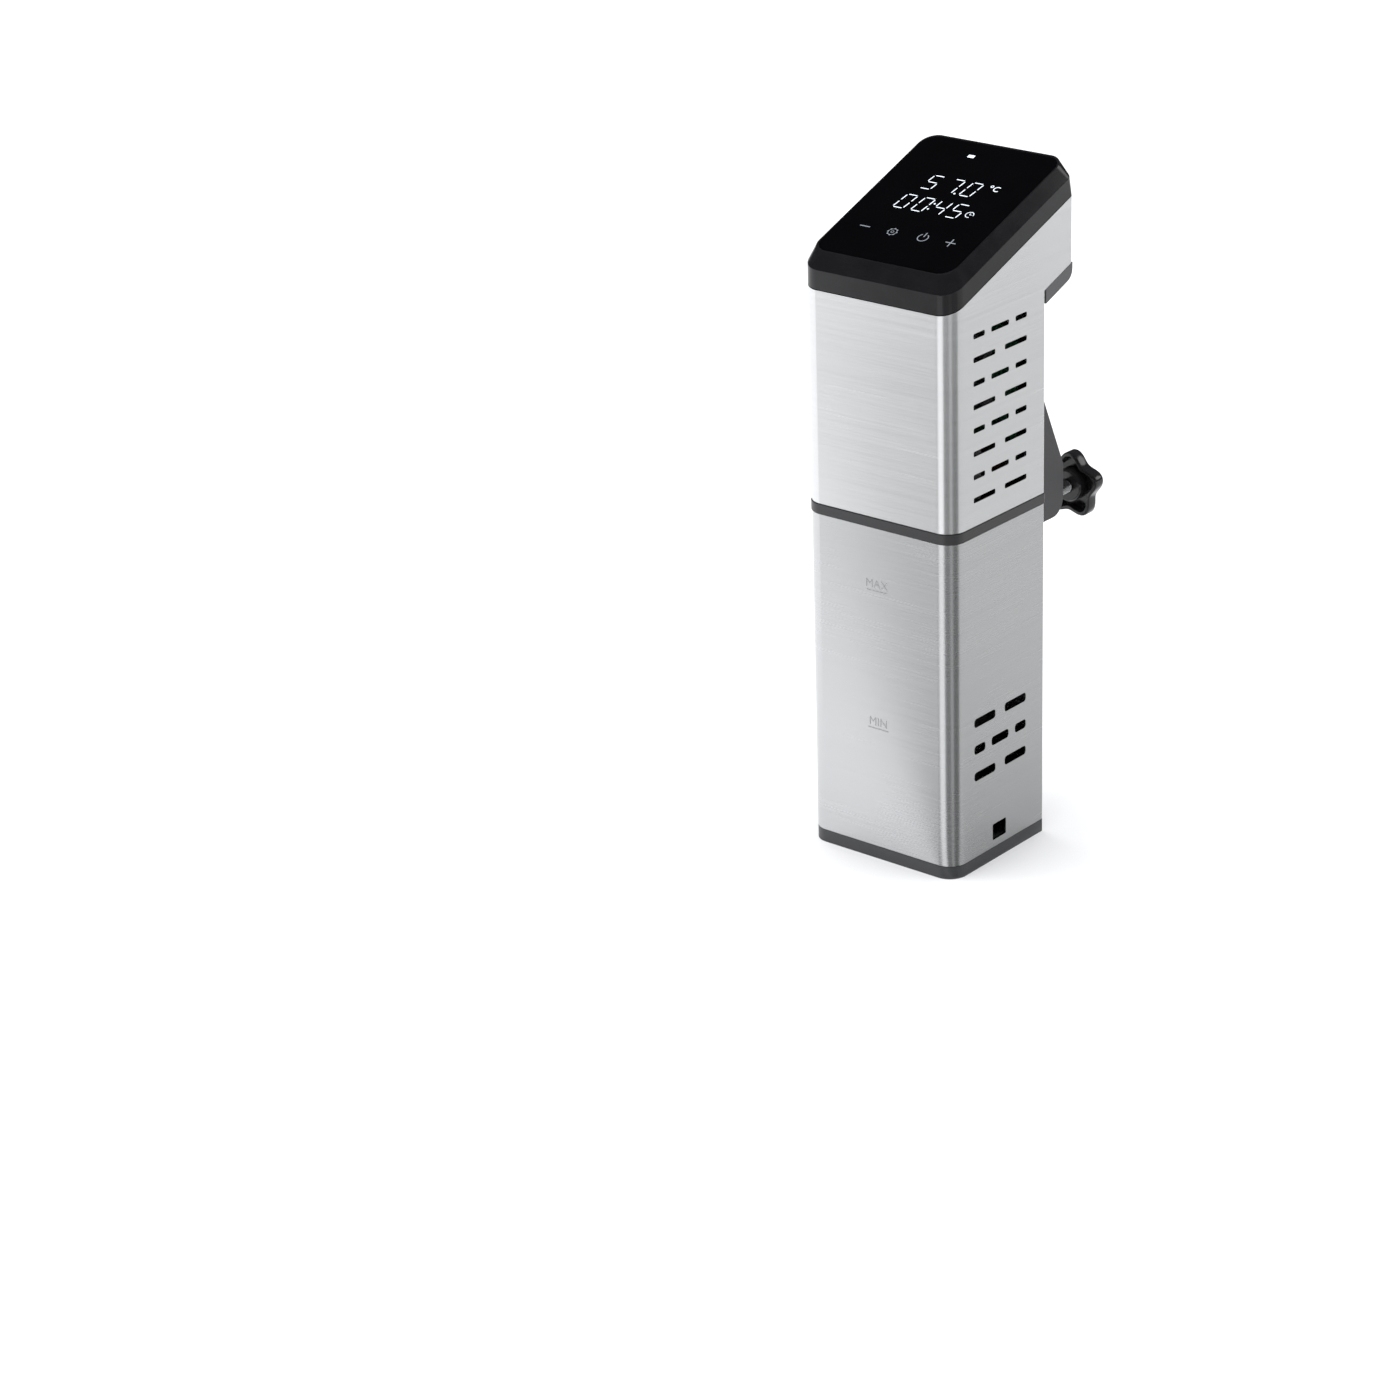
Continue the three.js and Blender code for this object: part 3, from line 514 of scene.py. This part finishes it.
def housing_block(inset, extra):
    """The shell's outside, or with an inset its inside, run past the open ends by extra."""
    far = shell_high.z + 20 * mm + extra
    back_right = Vector((shell_high.x, body_back, 0))
    column = body_slab(shell_low, back_right, inset, shell_low.z - extra, far)
    head = body_slab(shell_low, shell_high, inset, head_bottom - 40 * mm, far)
    downward = Vector((0, rise, -1)).normalized()
    cut = bmesh.ops.bisect_plane(
        head, geom=head.verts[:] + head.edges[:] + head.faces[:], dist=1e-7,
        plane_co=(0, body_back, head_bottom - extra), plane_no=downward, clear_outer=True,
    )
    rim = [e for e in cut["geom_cut"] if isinstance(e, bmesh.types.BMEdge)]
    bmesh.ops.contextual_create(head, geom=rim)
    bmesh.ops.recalc_face_normals(head, faces=head.faces[:])
    return combined(column, [head], "UNION")


# All that stands over the sloped edge, as one wedge wider and longer than the shell
past = 200 * mm
wedge = ((-past, 0.0), (past, 0.0), (past, past), (-past, 1.5 * past))
top_cut = slab([(-past / 2, y, edge_at(y) + above) for y, above in wedge], (past, 0.0, 0.0))
cover_low, cover_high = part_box("rear_cover")
margin = 8 * mm
opening = slab(
    panel(cover_low.x + margin, cover_high.x - margin, cover_low.z + margin, cover_high.z - margin,
          body_back - 5 * mm),
    (0.0, 6 * mm, 0.0),
)
vents = side_slots(vent_rows, vent_height, vent_corner)
housing = combined(
    housing_block(0.0, 0.0), [housing_block(steel_wall, mm), top_cut, vents, opening], "DIFFERENCE"
)
finish("housing_shell", housing, "main", brushed_steel, ["upper_housing"])
dark_underplate = moulded("dark_underplate", (0.062, 0.062, 0.064), (0.092, 0.092, 0.095), 0.45)
dress(dark_underplate, "head_underplate")
dress(brushed_steel, "rear_cover")


# --- Cap ----------------------------------------------------------------------------------------------
# A gloss black moulded frame on the sloped edge. An upright strip runs round it, then a chamfer leads up
# to the glass, which lies flush in the frame's pocket.
gloss_black, start = shader_of("gloss_black", Specular_IOR_Level=0.36)
swirl = grain(start, 90.0, detail=4.0)
drives(tinted(start, swirl, (0.006, 0.006, 0.007), (0.012, 0.012, 0.013)), "Base Color")
drives(0.2 + (swirl - 0.5) * 0.08, "Roughness")
raised(grain(start, 2500.0, detail=1.0), 0.04, 0.02 * mm)

cap_low, cap_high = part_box("display_bezel")
glass_thickness = 3 * mm
glass_front = Vector((0.0, glass_low.y, glass_low.z + glass_thickness * math.cos(slope)))


def plane_at(y):
    """Height of the glass's face at y."""
    return glass_front.z + (y - glass_front.y) * rise


def cap_foot(y):
    """Height of the cap's lower edge at y, a little clear of the steel."""
    return edge_at(y) + cap_gap


def pocket_floor(y):
    """Height of the glass's seat at y."""
    return plane_at(y) - pocket / math.cos(slope)


def hoop(bm, half, y0, y1, r_front, r_back, height):
    """A closed loop of edges in plan, with rounded corners, lifted to height(y)."""
    flat = slab(rectangle(-half, half, y0, y1, 0.0), (0.0, 0.0, 1.0), (r_front, r_front, r_back, r_back))
    bmesh.ops.delete(flat, geom=[v for v in flat.verts if v.co.z > 0.5], context="VERTS")
    mesh = bpy.data.meshes.new("hoop")
    flat.to_mesh(mesh)
    flat.free()
    known = set(bm.edges)
    bm.from_mesh(mesh)
    bpy.data.meshes.remove(mesh)
    edges = [e for e in bm.edges if e not in known]
    bmesh.ops.delete(bm, geom=list({f for e in edges for f in e.link_faces}), context="FACES_ONLY")
    for vert in {v for e in edges for v in e.verts}:
        vert.co.z = height(vert.co.y)
    return edges


half = cap_high.x
front, back = cap_low.y, cap_high.y
cap_gap = 0.3 * mm
strip = 11.5 * mm
pocket = glass_thickness + cap_gap
glass_half = glass_high.x
pocket_plan = (glass_half + cap_gap, front + 4.7 * mm, back - 1.2 * mm, 9.3 * mm, 9.3 * mm)
window_plan = (glass_half - 2.5 * mm, front + 7.5 * mm, back - 4 * mm, 6.5 * mm, 6.5 * mm)
bm = bmesh.new()
hoops = [
    hoop(bm, half, front, back, front_corner, back_corner, cap_foot),
    hoop(bm, half, front, back, front_corner, 5 * mm, lambda y: edge_at(y) + strip),
    hoop(bm, half - 4.7 * mm, front + 4 * mm, back, 8 * mm, 9.5 * mm, plane_at),
    hoop(bm, *pocket_plan, plane_at),
    hoop(bm, *pocket_plan, pocket_floor),
    hoop(bm, *window_plan, pocket_floor),
    hoop(bm, *window_plan, cap_foot),
]
for lower, upper in zip(hoops, hoops[1:] + hoops[:1]):
    bmesh.ops.bridge_loops(bm, edges=lower + upper)
bmesh.ops.recalc_face_normals(bm, faces=bm.faces[:])
finish("cap_frame", bm, "main", gloss_black, ["display_bezel"], 1.5 * mm, 16.0, 4)


# --- Glass and display --------------------------------------------------------------------------------
# Black-backed glass with round corners, bonded into the cap. It shows the water's temperature over the
# time left, in slanted seven-bar figures, with four dimmer touch signs below them.
pane_glass, start = shader_of("pane_glass", IOR=1.5, Specular_IOR_Level=0.14)
film = grain(start, 40.0, detail=5.0, roughness=0.65)
drives(tinted(start, film, (0.0008, 0.0008, 0.001), (0.0016, 0.0016, 0.002)), "Base Color")
drives(0.05 + film * 0.06, "Roughness")
raised(grain(start, 18.0, detail=0.0), 0.02, 0.1 * mm)
glass_length = (glass_high.z - glass_front.z) / math.sin(slope)
onto_glass = Matrix.Translation(glass_front) @ Matrix.Rotation(slope, 4, "X")
glass_corner = 9 * mm
pane = slab(
    rectangle(-glass_half, glass_half, 0.0, glass_length, -glass_thickness),
    (0, 0, glass_thickness), (glass_corner,) * 4,
)
pane.transform(onto_glass)
finish("glass_pane", pane, "main", pane_glass, ["touch_glass"], 0.35 * mm, 30.0, 3)

# The signs are drawn in millimetres on the glass: x across it, y up its slope from the front edge
figure_height = 12.4
figure_width = 6.9
lean = 2.0 / 12.4
bar = 0.64
sign_lift = 0.015 * mm
sign_skin = 0.03 * mm
bars_of = {"0": "abcdef", "4": "fgbc", "5": "afgcd", "7": "abc"}
bar_ends = {
    "a": ((0, 1), (1, 1)), "b": ((1, 1), (1, 0.5)), "c": ((1, 0.5), (1, 0)), "d": ((0, 0), (1, 0)),
    "e": ((0, 0.5), (0, 0)), "f": ((0, 1), (0, 0.5)), "g": ((0, 0.5), (1, 0.5)),
}


def stroke(start_point, end_point, width, trim=0.0, point=0.0):
    """A flat bar on the glass. Its ends are square, or pointed by point times its width."""
    first, last = Vector(start_point), Vector(end_point)
    along = (last - first).normalized()
    across = Vector((-along.y, along.x)) * width / 2
    first, last = first + along * trim, last - along * trim
    if point:
        tip = along * width * point
        outline = [
            first, first + tip + across, last - tip + across,
            last, last - tip - across, first + tip - across,
        ]
    else:
        outline = [first - across, first + across, last + across, last - across]
    return slab([(p.x * mm, p.y * mm, sign_lift) for p in outline], (0.0, 0.0, sign_skin))


def figure(digit, left, base):
    """The lit bars of one seven-bar figure; left is its top left corner."""
    strokes = []
    for name in bars_of[digit]:
        ends = []
        for across, up in bar_ends[name]:
            y = up * figure_height
            ends.append((left + across * figure_width + (y - figure_height) * lean, base + y))
        strokes.append(stroke(*ends, bar, trim=0.62, point=0.45))
    return strokes


def dot(x, y, radius):
    """A round point of light."""
    bm = bmesh.new()
    bmesh.ops.create_circle(bm, cap_ends=True, segments=14, radius=radius * mm)
    bmesh.ops.translate(bm, vec=(x * mm, y * mm, sign_lift), verts=bm.verts[:])
    return pulled(bm, (0.0, 0.0, sign_skin))


def arc(x, y, radius, start_angle, end_angle, width, steps):
    """A round stroke, as a chain of short bars that overlap a little."""
    strokes = []
    for step in range(steps):
        ends = []
        for share in (step, step + 1.15):
            angle = math.radians(start_angle + (end_angle - start_angle) * share / steps)
            ends.append((x + radius * math.cos(angle), y + radius * math.sin(angle)))
        strokes.append(stroke(*ends, width))
    return strokes


lit = []
for digit, left in (("5", -17.3), ("7", -3.4), ("0", 8.8)):
    lit += figure(digit, left, 65.6)
for digit, left in (("0", -22.0), ("0", -10.0), ("4", 1.6), ("5", 12.8)):
    lit += figure(digit, left, 46.0)
lit += [dot(3.9, 66.0, 0.65), dot(-1.4, 54.6, 0.6), dot(-2.4, 49.4, 0.6)]

# Degree sign and C, then a clock with its two hands, then the status light
lit += arc(21.4, 77.6, 0.85, 0, 360, 0.45, 12)
lit += arc(25.6, 76.0, 2.0, 50, 310, 0.6, 12)
lit += arc(24.2, 51.2, 2.4, -10, 290, 0.4, 16)
lit += [stroke((24.2, 51.0), (24.2, 52.6), 0.32), stroke((24.2, 51.2), (25.5, 51.2), 0.32)]
lit += [stroke((-9.8, 99.4), (-5.6, 99.4), 2.4)]

# Touch signs: minus, plus, power and a gear
sign_bar = 0.64
dim = [stroke((-31.4, 25.6), (-24.7, 25.6), sign_bar, point=0.1)]
dim += [stroke((25.8, 25.8), (32.4, 25.8), sign_bar, point=0.1)]
dim += [stroke((29.1, 22.5), (29.1, 29.1), sign_bar, point=0.1)]
dim += arc(10.9, 25.6, 3.1, 125, 415, 0.52, 22)
dim += [stroke((10.9, 26.2), (10.9, 30.0), 0.6, point=0.1)]
gear_x, gear_y = -9.4, 25.4
dim += arc(gear_x, gear_y, 2.6, 0, 360, 0.28, 22)
dim += arc(gear_x, gear_y, 0.9, 0, 360, 0.28, 12)
for tooth in range(8):
    angle = math.radians(45.0 * tooth)
    root, tip = [(gear_x + r * math.cos(angle), gear_y + r * math.sin(angle)) for r in (2.7, 3.2)]
    dim += [stroke(root, tip, 1.0)]


def glow(name, colour, strength):
    """A lit sign: even light that fades a little from bar to bar."""
    material, start = shader_of(name, Base_Color=(0.0, 0.0, 0.0), Roughness=0.4, Emission_Strength=strength)
    shade = grain(start, 160.0, detail=1.0)
    drives(tinted(start, shade, tuple(c * 0.85 for c in colour), colour), "Emission Color")
    return material


for name, strokes, colour, strength in (
    ("lit_figures", lit, (0.86, 0.93, 1.0), 1.7),
    ("touch_signs", dim, (0.66, 0.72, 0.82), 0.6),
):
    bm = merged(strokes)
    bm.transform(onto_glass)
    finish(name, bm, "main", glow(name, colour, strength))


# --- Clamp bracket ------------------------------------------------------------------------------------
# A dark cast aluminium arm bolted over the rear cover. It hangs down behind the pot's rim to a jaw that
# holds the clamp's screw in a brass nut.
cast_dark = moulded("cast_dark", (0.026, 0.026, 0.028), (0.044, 0.044, 0.046), 0.44, 0.8 * mm, 0.25)
arm_low, arm_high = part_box("clamp_bracket")
axis_low, axis_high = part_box("clamp_nut")
screw_z = (axis_low.z + axis_high.z) / 2
arm_half = 11 * mm
arm_front = cover_high.y + 0.3 * mm
ceiling = sleeve_high.z + 11.4 * mm
jaw_face = body_back + 53 * mm
jaw_outer = arm_high.y
knee = Vector((0, jaw_outer - 1.5 * mm, sleeve_high.z - 3.9 * mm))
arm_slope = 2.23
underside_drop = 46.3 * mm


def underside_at(y):
    """Height of the arm's top at y, just under the head's underplate."""
    return edge_at(y) - underside_drop


def rib_back(z):
    """The back edge at z of the pocket in the arm's flank, which leaves a rib behind it."""
    return knee.y - (z - knee.z) / arm_slope - 9 * mm


top_y = (knee.z + arm_slope * knee.y - underside_at(0)) / (arm_slope + rise)
profile = [
    (arm_front, ceiling, 0), (jaw_face, ceiling, 8), (jaw_face, arm_low.z, 1.5), (jaw_outer, arm_low.z, 10),
    (jaw_outer, knee.z - 3.3 * mm, 2), (knee.y, knee.z, 2), (top_y, underside_at(top_y), 0),
    (arm_front, underside_at(arm_front), 0),
]
arm_radii = [radius * mm for _, _, radius in profile]
arm = slab([(-arm_half, y, z) for y, z, _ in profile], (2 * arm_half, 0, 0), arm_radii, 8)
flange_half, flange_thickness = 24 * mm, 4 * mm
flange = slab(
    panel(-flange_half, flange_half, ceiling, cover_high.z - 2 * mm, arm_front),
    (0, flange_thickness, 0), (4 * mm,) * 4, 5,
)
pocket_front, pocket_low, pocket_high = 58 * mm, ceiling + 9 * mm, sleeve_high.z + 98.4 * mm
pocket_depth, pocket_reach = 3 * mm, 8 * mm
flank = [
    (pocket_front, pocket_low), (rib_back(pocket_low), pocket_low),
    (rib_back(pocket_high), pocket_high), (pocket_front, pocket_high),
]
pockets = [
    slab([(x, y, z) for y, z in flank], (pocket_reach, 0, 0), (3 * mm,) * 4, 4)
    for x in (pocket_depth - arm_half - pocket_reach, arm_half - pocket_depth)
]
nut_seat = 5.8 * mm
nut_hole = ring_profile(
    [(0, 0), (nut_seat, 0), (nut_seat, 40 * mm), (0, 40 * mm)], (0, jaw_face - 5 * mm, screw_z), "Y", 40
)
bracket = combined(combined(arm, [flange], "UNION"), [merged(pockets), nut_hole], "DIFFERENCE")
finish("bracket_casting", bracket, "main", cast_dark, ["clamp_bracket"], 0.5 * mm, 30.0, 3)

machined_brass, start = shader_of("machined_brass", Metallic=1.0)
tool_marks = grain(start, 1.0, (1200.0, 90.0, 1200.0), 3.0)
drives(tinted(start, tool_marks, (0.50, 0.36, 0.14), (0.66, 0.50, 0.23)), "Base Color")
drives(0.28 + (tool_marks - 0.5) * 0.15, "Roughness")
dress(machined_brass, "clamp_nut")


# --- Clamp screw, pad and knob ------------------------------------------------------------------------
# A zinc-plated M8 screw turns in the nut. Its ball end carries a swivel pad faced with rubber, and a
# gloss black knob with five lobes is moulded on the other end.
screw_low, screw_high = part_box("clamp_screw")
knob_low, knob_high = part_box("star_knob")
pad_low, pad_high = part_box("pad_disc")
pitch = 1.25 * mm
crest, root = 4.0 * mm, 3.45 * mm
core = 3.9 * mm
ball = 5 * mm
thread_start = pad_high.y + 3 * mm
thread_end = knob_low.y + mm
ball_end = pad_high.y - 2.3 * mm
thread_points = [
    (0, screw_low.y), (ball, screw_low.y), (ball, ball_end), (core, ball_end + mm), (core, thread_start),
]
for turn in range(int((thread_end - thread_start) / pitch)):
    y = thread_start + turn * pitch
    thread_points += [(crest, y + 0.12 * pitch), (crest, y + 0.28 * pitch)]
    thread_points += [(root, y + 0.7 * pitch), (root, y + 0.85 * pitch)]
thread_points += [(core, thread_end + mm), (core, screw_high.y), (0, screw_high.y)]
threaded = ring_profile(thread_points, (0, 0, screw_z), "Y", 32)
finish("threaded_screw", threaded, "knob", bright_steel, ["clamp_screw"], sharp=25.0)

knob_gloss = moulded("knob_gloss", (0.008, 0.008, 0.009), (0.016, 0.016, 0.017), 0.2, 1.2 * mm, 0.05)
lobes = 5
lobe_mean = 17.8 * mm
lobe_swing = 2.3 * mm
lobe_turn = math.radians(1.0)
knob_skin = 2.6 * mm
rim_face = knob_low.y + 2.2 * mm


def lobed_slab(inset, length):
    """The knob's lobed outline, drawn in by inset, as a slab up Z from 0."""
    bm = bmesh.new()
    bmesh.ops.create_circle(bm, cap_ends=True, segments=160, radius=1.0)
    for vert in bm.verts:
        angle = math.atan2(vert.co.y, vert.co.x)
        reach = lobe_mean - inset + lobe_swing * math.cos(lobes * (angle - lobe_turn))
        vert.co = (math.cos(angle) * reach, math.sin(angle) * reach, 0.0)
    return pulled(bm, (0, 0, length))


def onto_screw(bm, y0):
    """Turns a slab made along Z from 0, with its X up, to run along the clamp's screw from y0."""
    bm.transform(Matrix(((0, 1, 0, 0), (0, 0, 1, y0), (1, 0, 0, screw_z), (0, 0, 0, 1))))
    return bm


star = lobed_slab(0.0, knob_high.y - rim_face)
back_rim = [e for e in star.edges if min(v.co.z for v in e.verts) > mm]
bmesh.ops.bevel(
    star, geom=back_rim, offset=2.4 * mm, affect="EDGES", segments=5, profile=0.5, material=-1
)
front_rim = [e for e in star.edges if max(v.co.z for v in e.verts) < 1e-7]
bmesh.ops.bevel(
    star, geom=front_rim, offset=0.8 * mm, affect="EDGES", segments=3, profile=0.5, material=-1
)
hollow = lobed_slab(knob_skin, knob_high.y - knob_skin - rim_face + mm)
hub_radius, hub_length, hub_chamfer = 9.8 * mm, 8.6 * mm, 0.9 * mm
hub_points = [
    (0, 0), (hub_radius - hub_chamfer, 0), (hub_radius, hub_chamfer),
    (hub_radius, hub_length), (0, hub_length),
]
hub = ring_profile(hub_points, (0, knob_low.y, screw_z), "Y", 64)
seat_radius, seat_depth = 8.3 * mm, 1.5 * mm
seat = ring_profile(
    [(0, 0), (seat_radius, 0), (seat_radius, 5 * mm), (0, 5 * mm)],
    (0, knob_high.y - seat_depth, screw_z), "Y", 64,
)
bore_radius, bore_length = 4.3 * mm, 25 * mm
screw_bore = ring_profile(
    [(0, 0), (bore_radius, 0), (bore_radius, bore_length), (0, bore_length)],
    (0, screw_high.y + 0.3 * mm - bore_length, screw_z), "Y", 48,
)
knob = combined(onto_screw(star, rim_face), [onto_screw(hollow, rim_face - mm)], "DIFFERENCE")
knob = combined(combined(knob, [hub], "UNION"), [seat, screw_bore], "DIFFERENCE")
finish("lobed_knob", knob, "knob", knob_gloss, ["star_knob"], 0.25 * mm, 40.0)
cap_disc = ring_profile(
    [(0, 0), (8.0 * mm, 0), (8.0 * mm, 0.7 * mm), (7.4 * mm, 1.05 * mm), (0, 1.15 * mm)],
    (0, knob_high.y - 1.15 * mm, screw_z), "Y", 64,
)
finish("knob_disc", cap_disc, "knob", dark_nylon, ["knob_cap"], sharp=40.0)

pad_radius = 14 * mm
pad_chamfer = 0.6 * mm
pad_socket = 5.3 * mm
disc_points = [
    (0, 0), (pad_radius - pad_chamfer, 0), (pad_radius, pad_chamfer), (pad_radius, 3 * mm),
    (13.2 * mm, 3.8 * mm), (8.5 * mm, 4.4 * mm), (7.5 * mm, 6 * mm), (4.4 * mm, 6 * mm),
    (4.4 * mm, 5 * mm), (pad_socket, 4 * mm), (pad_socket, 1.7 * mm), (0, 1.7 * mm),
]
disc = ring_profile(disc_points, (0, pad_low.y, screw_z), "Y", 64)
finish("swivel_disc", disc, "pad", cast_dark, ["pad_disc"], sharp=28.0)

pad_rubber = moulded("pad_rubber", (0.018, 0.018, 0.019), (0.03, 0.03, 0.031), 0.75, 0.5 * mm, 0.4)
face_low, face_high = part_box("pad_face")
thick = face_high.y - face_low.y
groove_depth = 0.6 * mm
rubber_points = [(0, 0)]
for groove in (4.0, 7.5, 11.0):
    rubber_points += [((groove - 0.5) * mm, 0), ((groove - 0.3) * mm, groove_depth)]
    rubber_points += [((groove + 0.3) * mm, groove_depth), ((groove + 0.5) * mm, 0)]
rubber_points += [(pad_radius - pad_chamfer, 0), (pad_radius, pad_chamfer), (pad_radius, thick), (0, thick)]
rubber_face = ring_profile(rubber_points, (0, face_low.y, screw_z), "Y", 64)
finish("grooved_rubber", rubber_face, "pad", pad_rubber, ["pad_face"], sharp=28.0)


# --- Cord inlet ---------------------------------------------------------------------------------------
# The gland in the rear cover that the mains cord would enter by. It is a flanged collar of moulded nylon,
# pressed in from outside.
dress(dark_nylon, "cord_inlet")


# --- Inside -------------------------------------------------------------------------------------------
# Heater, probes and pump hang from the deck plate and show when the sleeve is off. Boards, motor and fan
# stand over it, seen only through the vents. They are steel, nylon, ceramic and copper.
heater_oxide, start = shader_of("heater_oxide", Metallic=1.0)
heat_stain = grain(start, 45.0, detail=4.0)
drives(tinted(start, heat_stain, (0.34, 0.30, 0.25), (0.58, 0.56, 0.53)), "Base Color")
drives(0.3 + heat_stain * 0.12, "Roughness")

# The heater's sheath: one tube wound three turns round the stem, its two legs rising through the deck
deck_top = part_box("deck_plate")[1].z
heater_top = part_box("heater_element")[1].z
tube_radius = 3.5 * mm
coil_high, coil_low = 150 * mm, 66 * mm
coil_radius = 30 * mm
return_radius = 38 * mm
down_angle, up_angle = math.radians(-120.0), math.radians(-60.0)
down_leg = (coil_radius * math.cos(down_angle), coil_radius * math.sin(down_angle))
up_leg = (return_radius * math.cos(up_angle), return_radius * math.sin(up_angle))
straight_to = deck_top - 20 * mm
path = [(*down_leg, z) for z in (heater_top, straight_to, coil_high + 18 * mm)]
coil_turns, coil_steps = 3, 36
for step in range(1, coil_steps + 1):
    share = step / coil_steps
    angle = down_angle + share * (coil_turns * math.tau + up_angle - down_angle)
    z = coil_high + (coil_low - coil_high) * share
    path.append((coil_radius * math.cos(angle), coil_radius * math.sin(angle), z))
path += [(*up_leg, z) for z in (coil_low + 14 * mm, straight_to, heater_top)]
tube = bpy.data.curves.new("tube", "CURVE")
tube.dimensions = "3D"
tube.bevel_depth = tube_radius
tube.bevel_resolution = 6
tube.use_fill_caps = True
tube.resolution_u = 8
spline = tube.splines.new("BEZIER")
spline.bezier_points.add(len(path) - 1)
for knot, point in zip(spline.bezier_points, path):
    knot.co = point
    knot.handle_left_type = knot.handle_right_type = "AUTO"
wound = bpy.data.objects.new("wound", tube)
scene.collection.objects.link(wound)
bm = bmesh.new()
bm.from_mesh(bpy.data.meshes.new_from_object(wound))
bpy.data.objects.remove(wound)
bmesh.ops.remove_doubles(bm, verts=bm.verts[:], dist=1e-7)
bmesh.ops.recalc_face_normals(bm, faces=bm.faces[:])
finish("heater_sheath", bm, "main", heater_oxide, ["heater_element"], sharp=40.0)

# Round-ended probes beside it, and the stem that carries the pump's shaft
for node in ("temperature_probe", "level_rod_low", "level_rod_high"):
    low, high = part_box(node)
    radius = (high.x - low.x) / 2
    length = high.z - low.z
    outline = [
        (0, 0), (radius * 0.6, radius * 0.2), (radius * 0.9, radius * 0.56), (radius, radius),
        (radius, length), (0, length),
    ]
    probe = ring_profile(outline, ((low.x + high.x) / 2, (low.y + high.y) / 2, low.z), "Z", 24)
    finish(node + "_dressed", probe, "main", bright_steel, [node], sharp=40.0)
stem_low, stem_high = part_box("pump_stem")
stem_bore = stem_high.x - 2 * mm
stem_length = stem_high.z - stem_low.z
stem = ring_profile(
    [(stem_bore, 0), (stem_high.x, 0), (stem_high.x, stem_length), (stem_bore, stem_length)],
    (0, 0, stem_low.z), "Z", 64,
)
finish("stem_tube", stem, "main", bright_steel, ["pump_stem"], sharp=40.0)

# The pump's cover: a moulded cup with four intakes in its roof and an outlet cut through each side
cup_low, cup_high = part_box("pump_cover")
cup_radius = cup_high.x
cup_height = cup_high.z - cup_low.z
cup_wall, cup_roof = 1.5 * mm, 3 * mm
shaft_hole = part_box("pump_shaft")[1].x + 1.5 * mm
cup = ring_profile(
    [(cup_radius - cup_wall, 0), (cup_radius, 0), (cup_radius, cup_height), (shaft_hole, cup_height),
     (shaft_hole, cup_height - cup_roof), (cup_radius - cup_wall, cup_height - cup_roof)],
    (0, 0, cup_low.z), "Z", 64,
)
intake_radius, intake_ring, intake_length = 5 * mm, 18 * mm, 12 * mm
intake = [(0, 0), (intake_radius, 0), (intake_radius, intake_length), (0, intake_length)]
intakes = []
for turn in range(4):
    angle = math.radians(45.0 + 90.0 * turn)
    foot = (intake_ring * math.cos(angle), intake_ring * math.sin(angle), cup_high.z - intake_length / 2)
    intakes.append(ring_profile(intake, foot, "Z", 32))
outlet_cut = slab(
    rectangle(-40 * mm, 40 * mm, -outlet_half, outlet_half, cup_low.z - mm),
    (0, 0, outlet_high - cup_low.z + mm),
)
cup = combined(cup, [merged(intakes), outlet_cut], "DIFFERENCE")
finish("pump_cup", cup, "main", dark_nylon, ["pump_cover"], 0.3 * mm, 40.0)

solder_mask, start = shader_of("solder_mask", Roughness=0.35)
where = start.node("ShaderNodeTexCoord", out="Object")
grid = {"Vector": where, "Scale": 160.0, "Mortar Size": 0.08}
tracks = start.node("ShaderNodeTexBrick", {"offset": 0.5}, grid, out="Fac")
drives(tinted(start, tracks, (0.015, 0.13, 0.05), (0.05, 0.26, 0.10)), "Base Color")
raised(tracks, 0.2, 0.05 * mm)

fired_ceramic, start = shader_of("fired_ceramic", Roughness=0.65)
speckle = grain(start, 1800.0, detail=3.0)
drives(tinted(start, speckle, (0.66, 0.64, 0.57), (0.82, 0.80, 0.74)), "Base Color")
raised(speckle, 0.2, 0.03 * mm)

wound_copper, start = shader_of("wound_copper", Metallic=1.0, Roughness=0.35)
where = start.node("ShaderNodeTexCoord", out="Object")
laid = {"wave_type": "BANDS", "bands_direction": "Z"}
winding = start.node("ShaderNodeTexWave", laid, {"Vector": where, "Scale": 420.0, "Distortion": 1.5})
drives(tinted(start, winding, (0.30, 0.11, 0.05), (0.62, 0.28, 0.14)), "Base Color")
raised(winding, 0.5, 0.15 * mm)

cast_plain = moulded("cast_plain", (0.22, 0.22, 0.23), (0.32, 0.32, 0.33), 0.5, 0.8 * mm, 0.25)
dress(bright_steel, "deck_plate", "pump_shaft")
dress(dark_nylon, "display_module", "buzzer", "pump_impeller", "cooling_fan", "relay", "capacitor")
dress(cast_plain, "motor_stool", "heat_sink")
dress(pad_rubber, "shaft_seal")
dress(solder_mask, "control_board", "power_board")
dress(fired_ceramic, "touch_panel", "stem_bushing", "heater_gland_1", "heater_gland_2")
dress(wound_copper, "motor_armature", "transformer")
dress(brushed_steel, "motor_can")
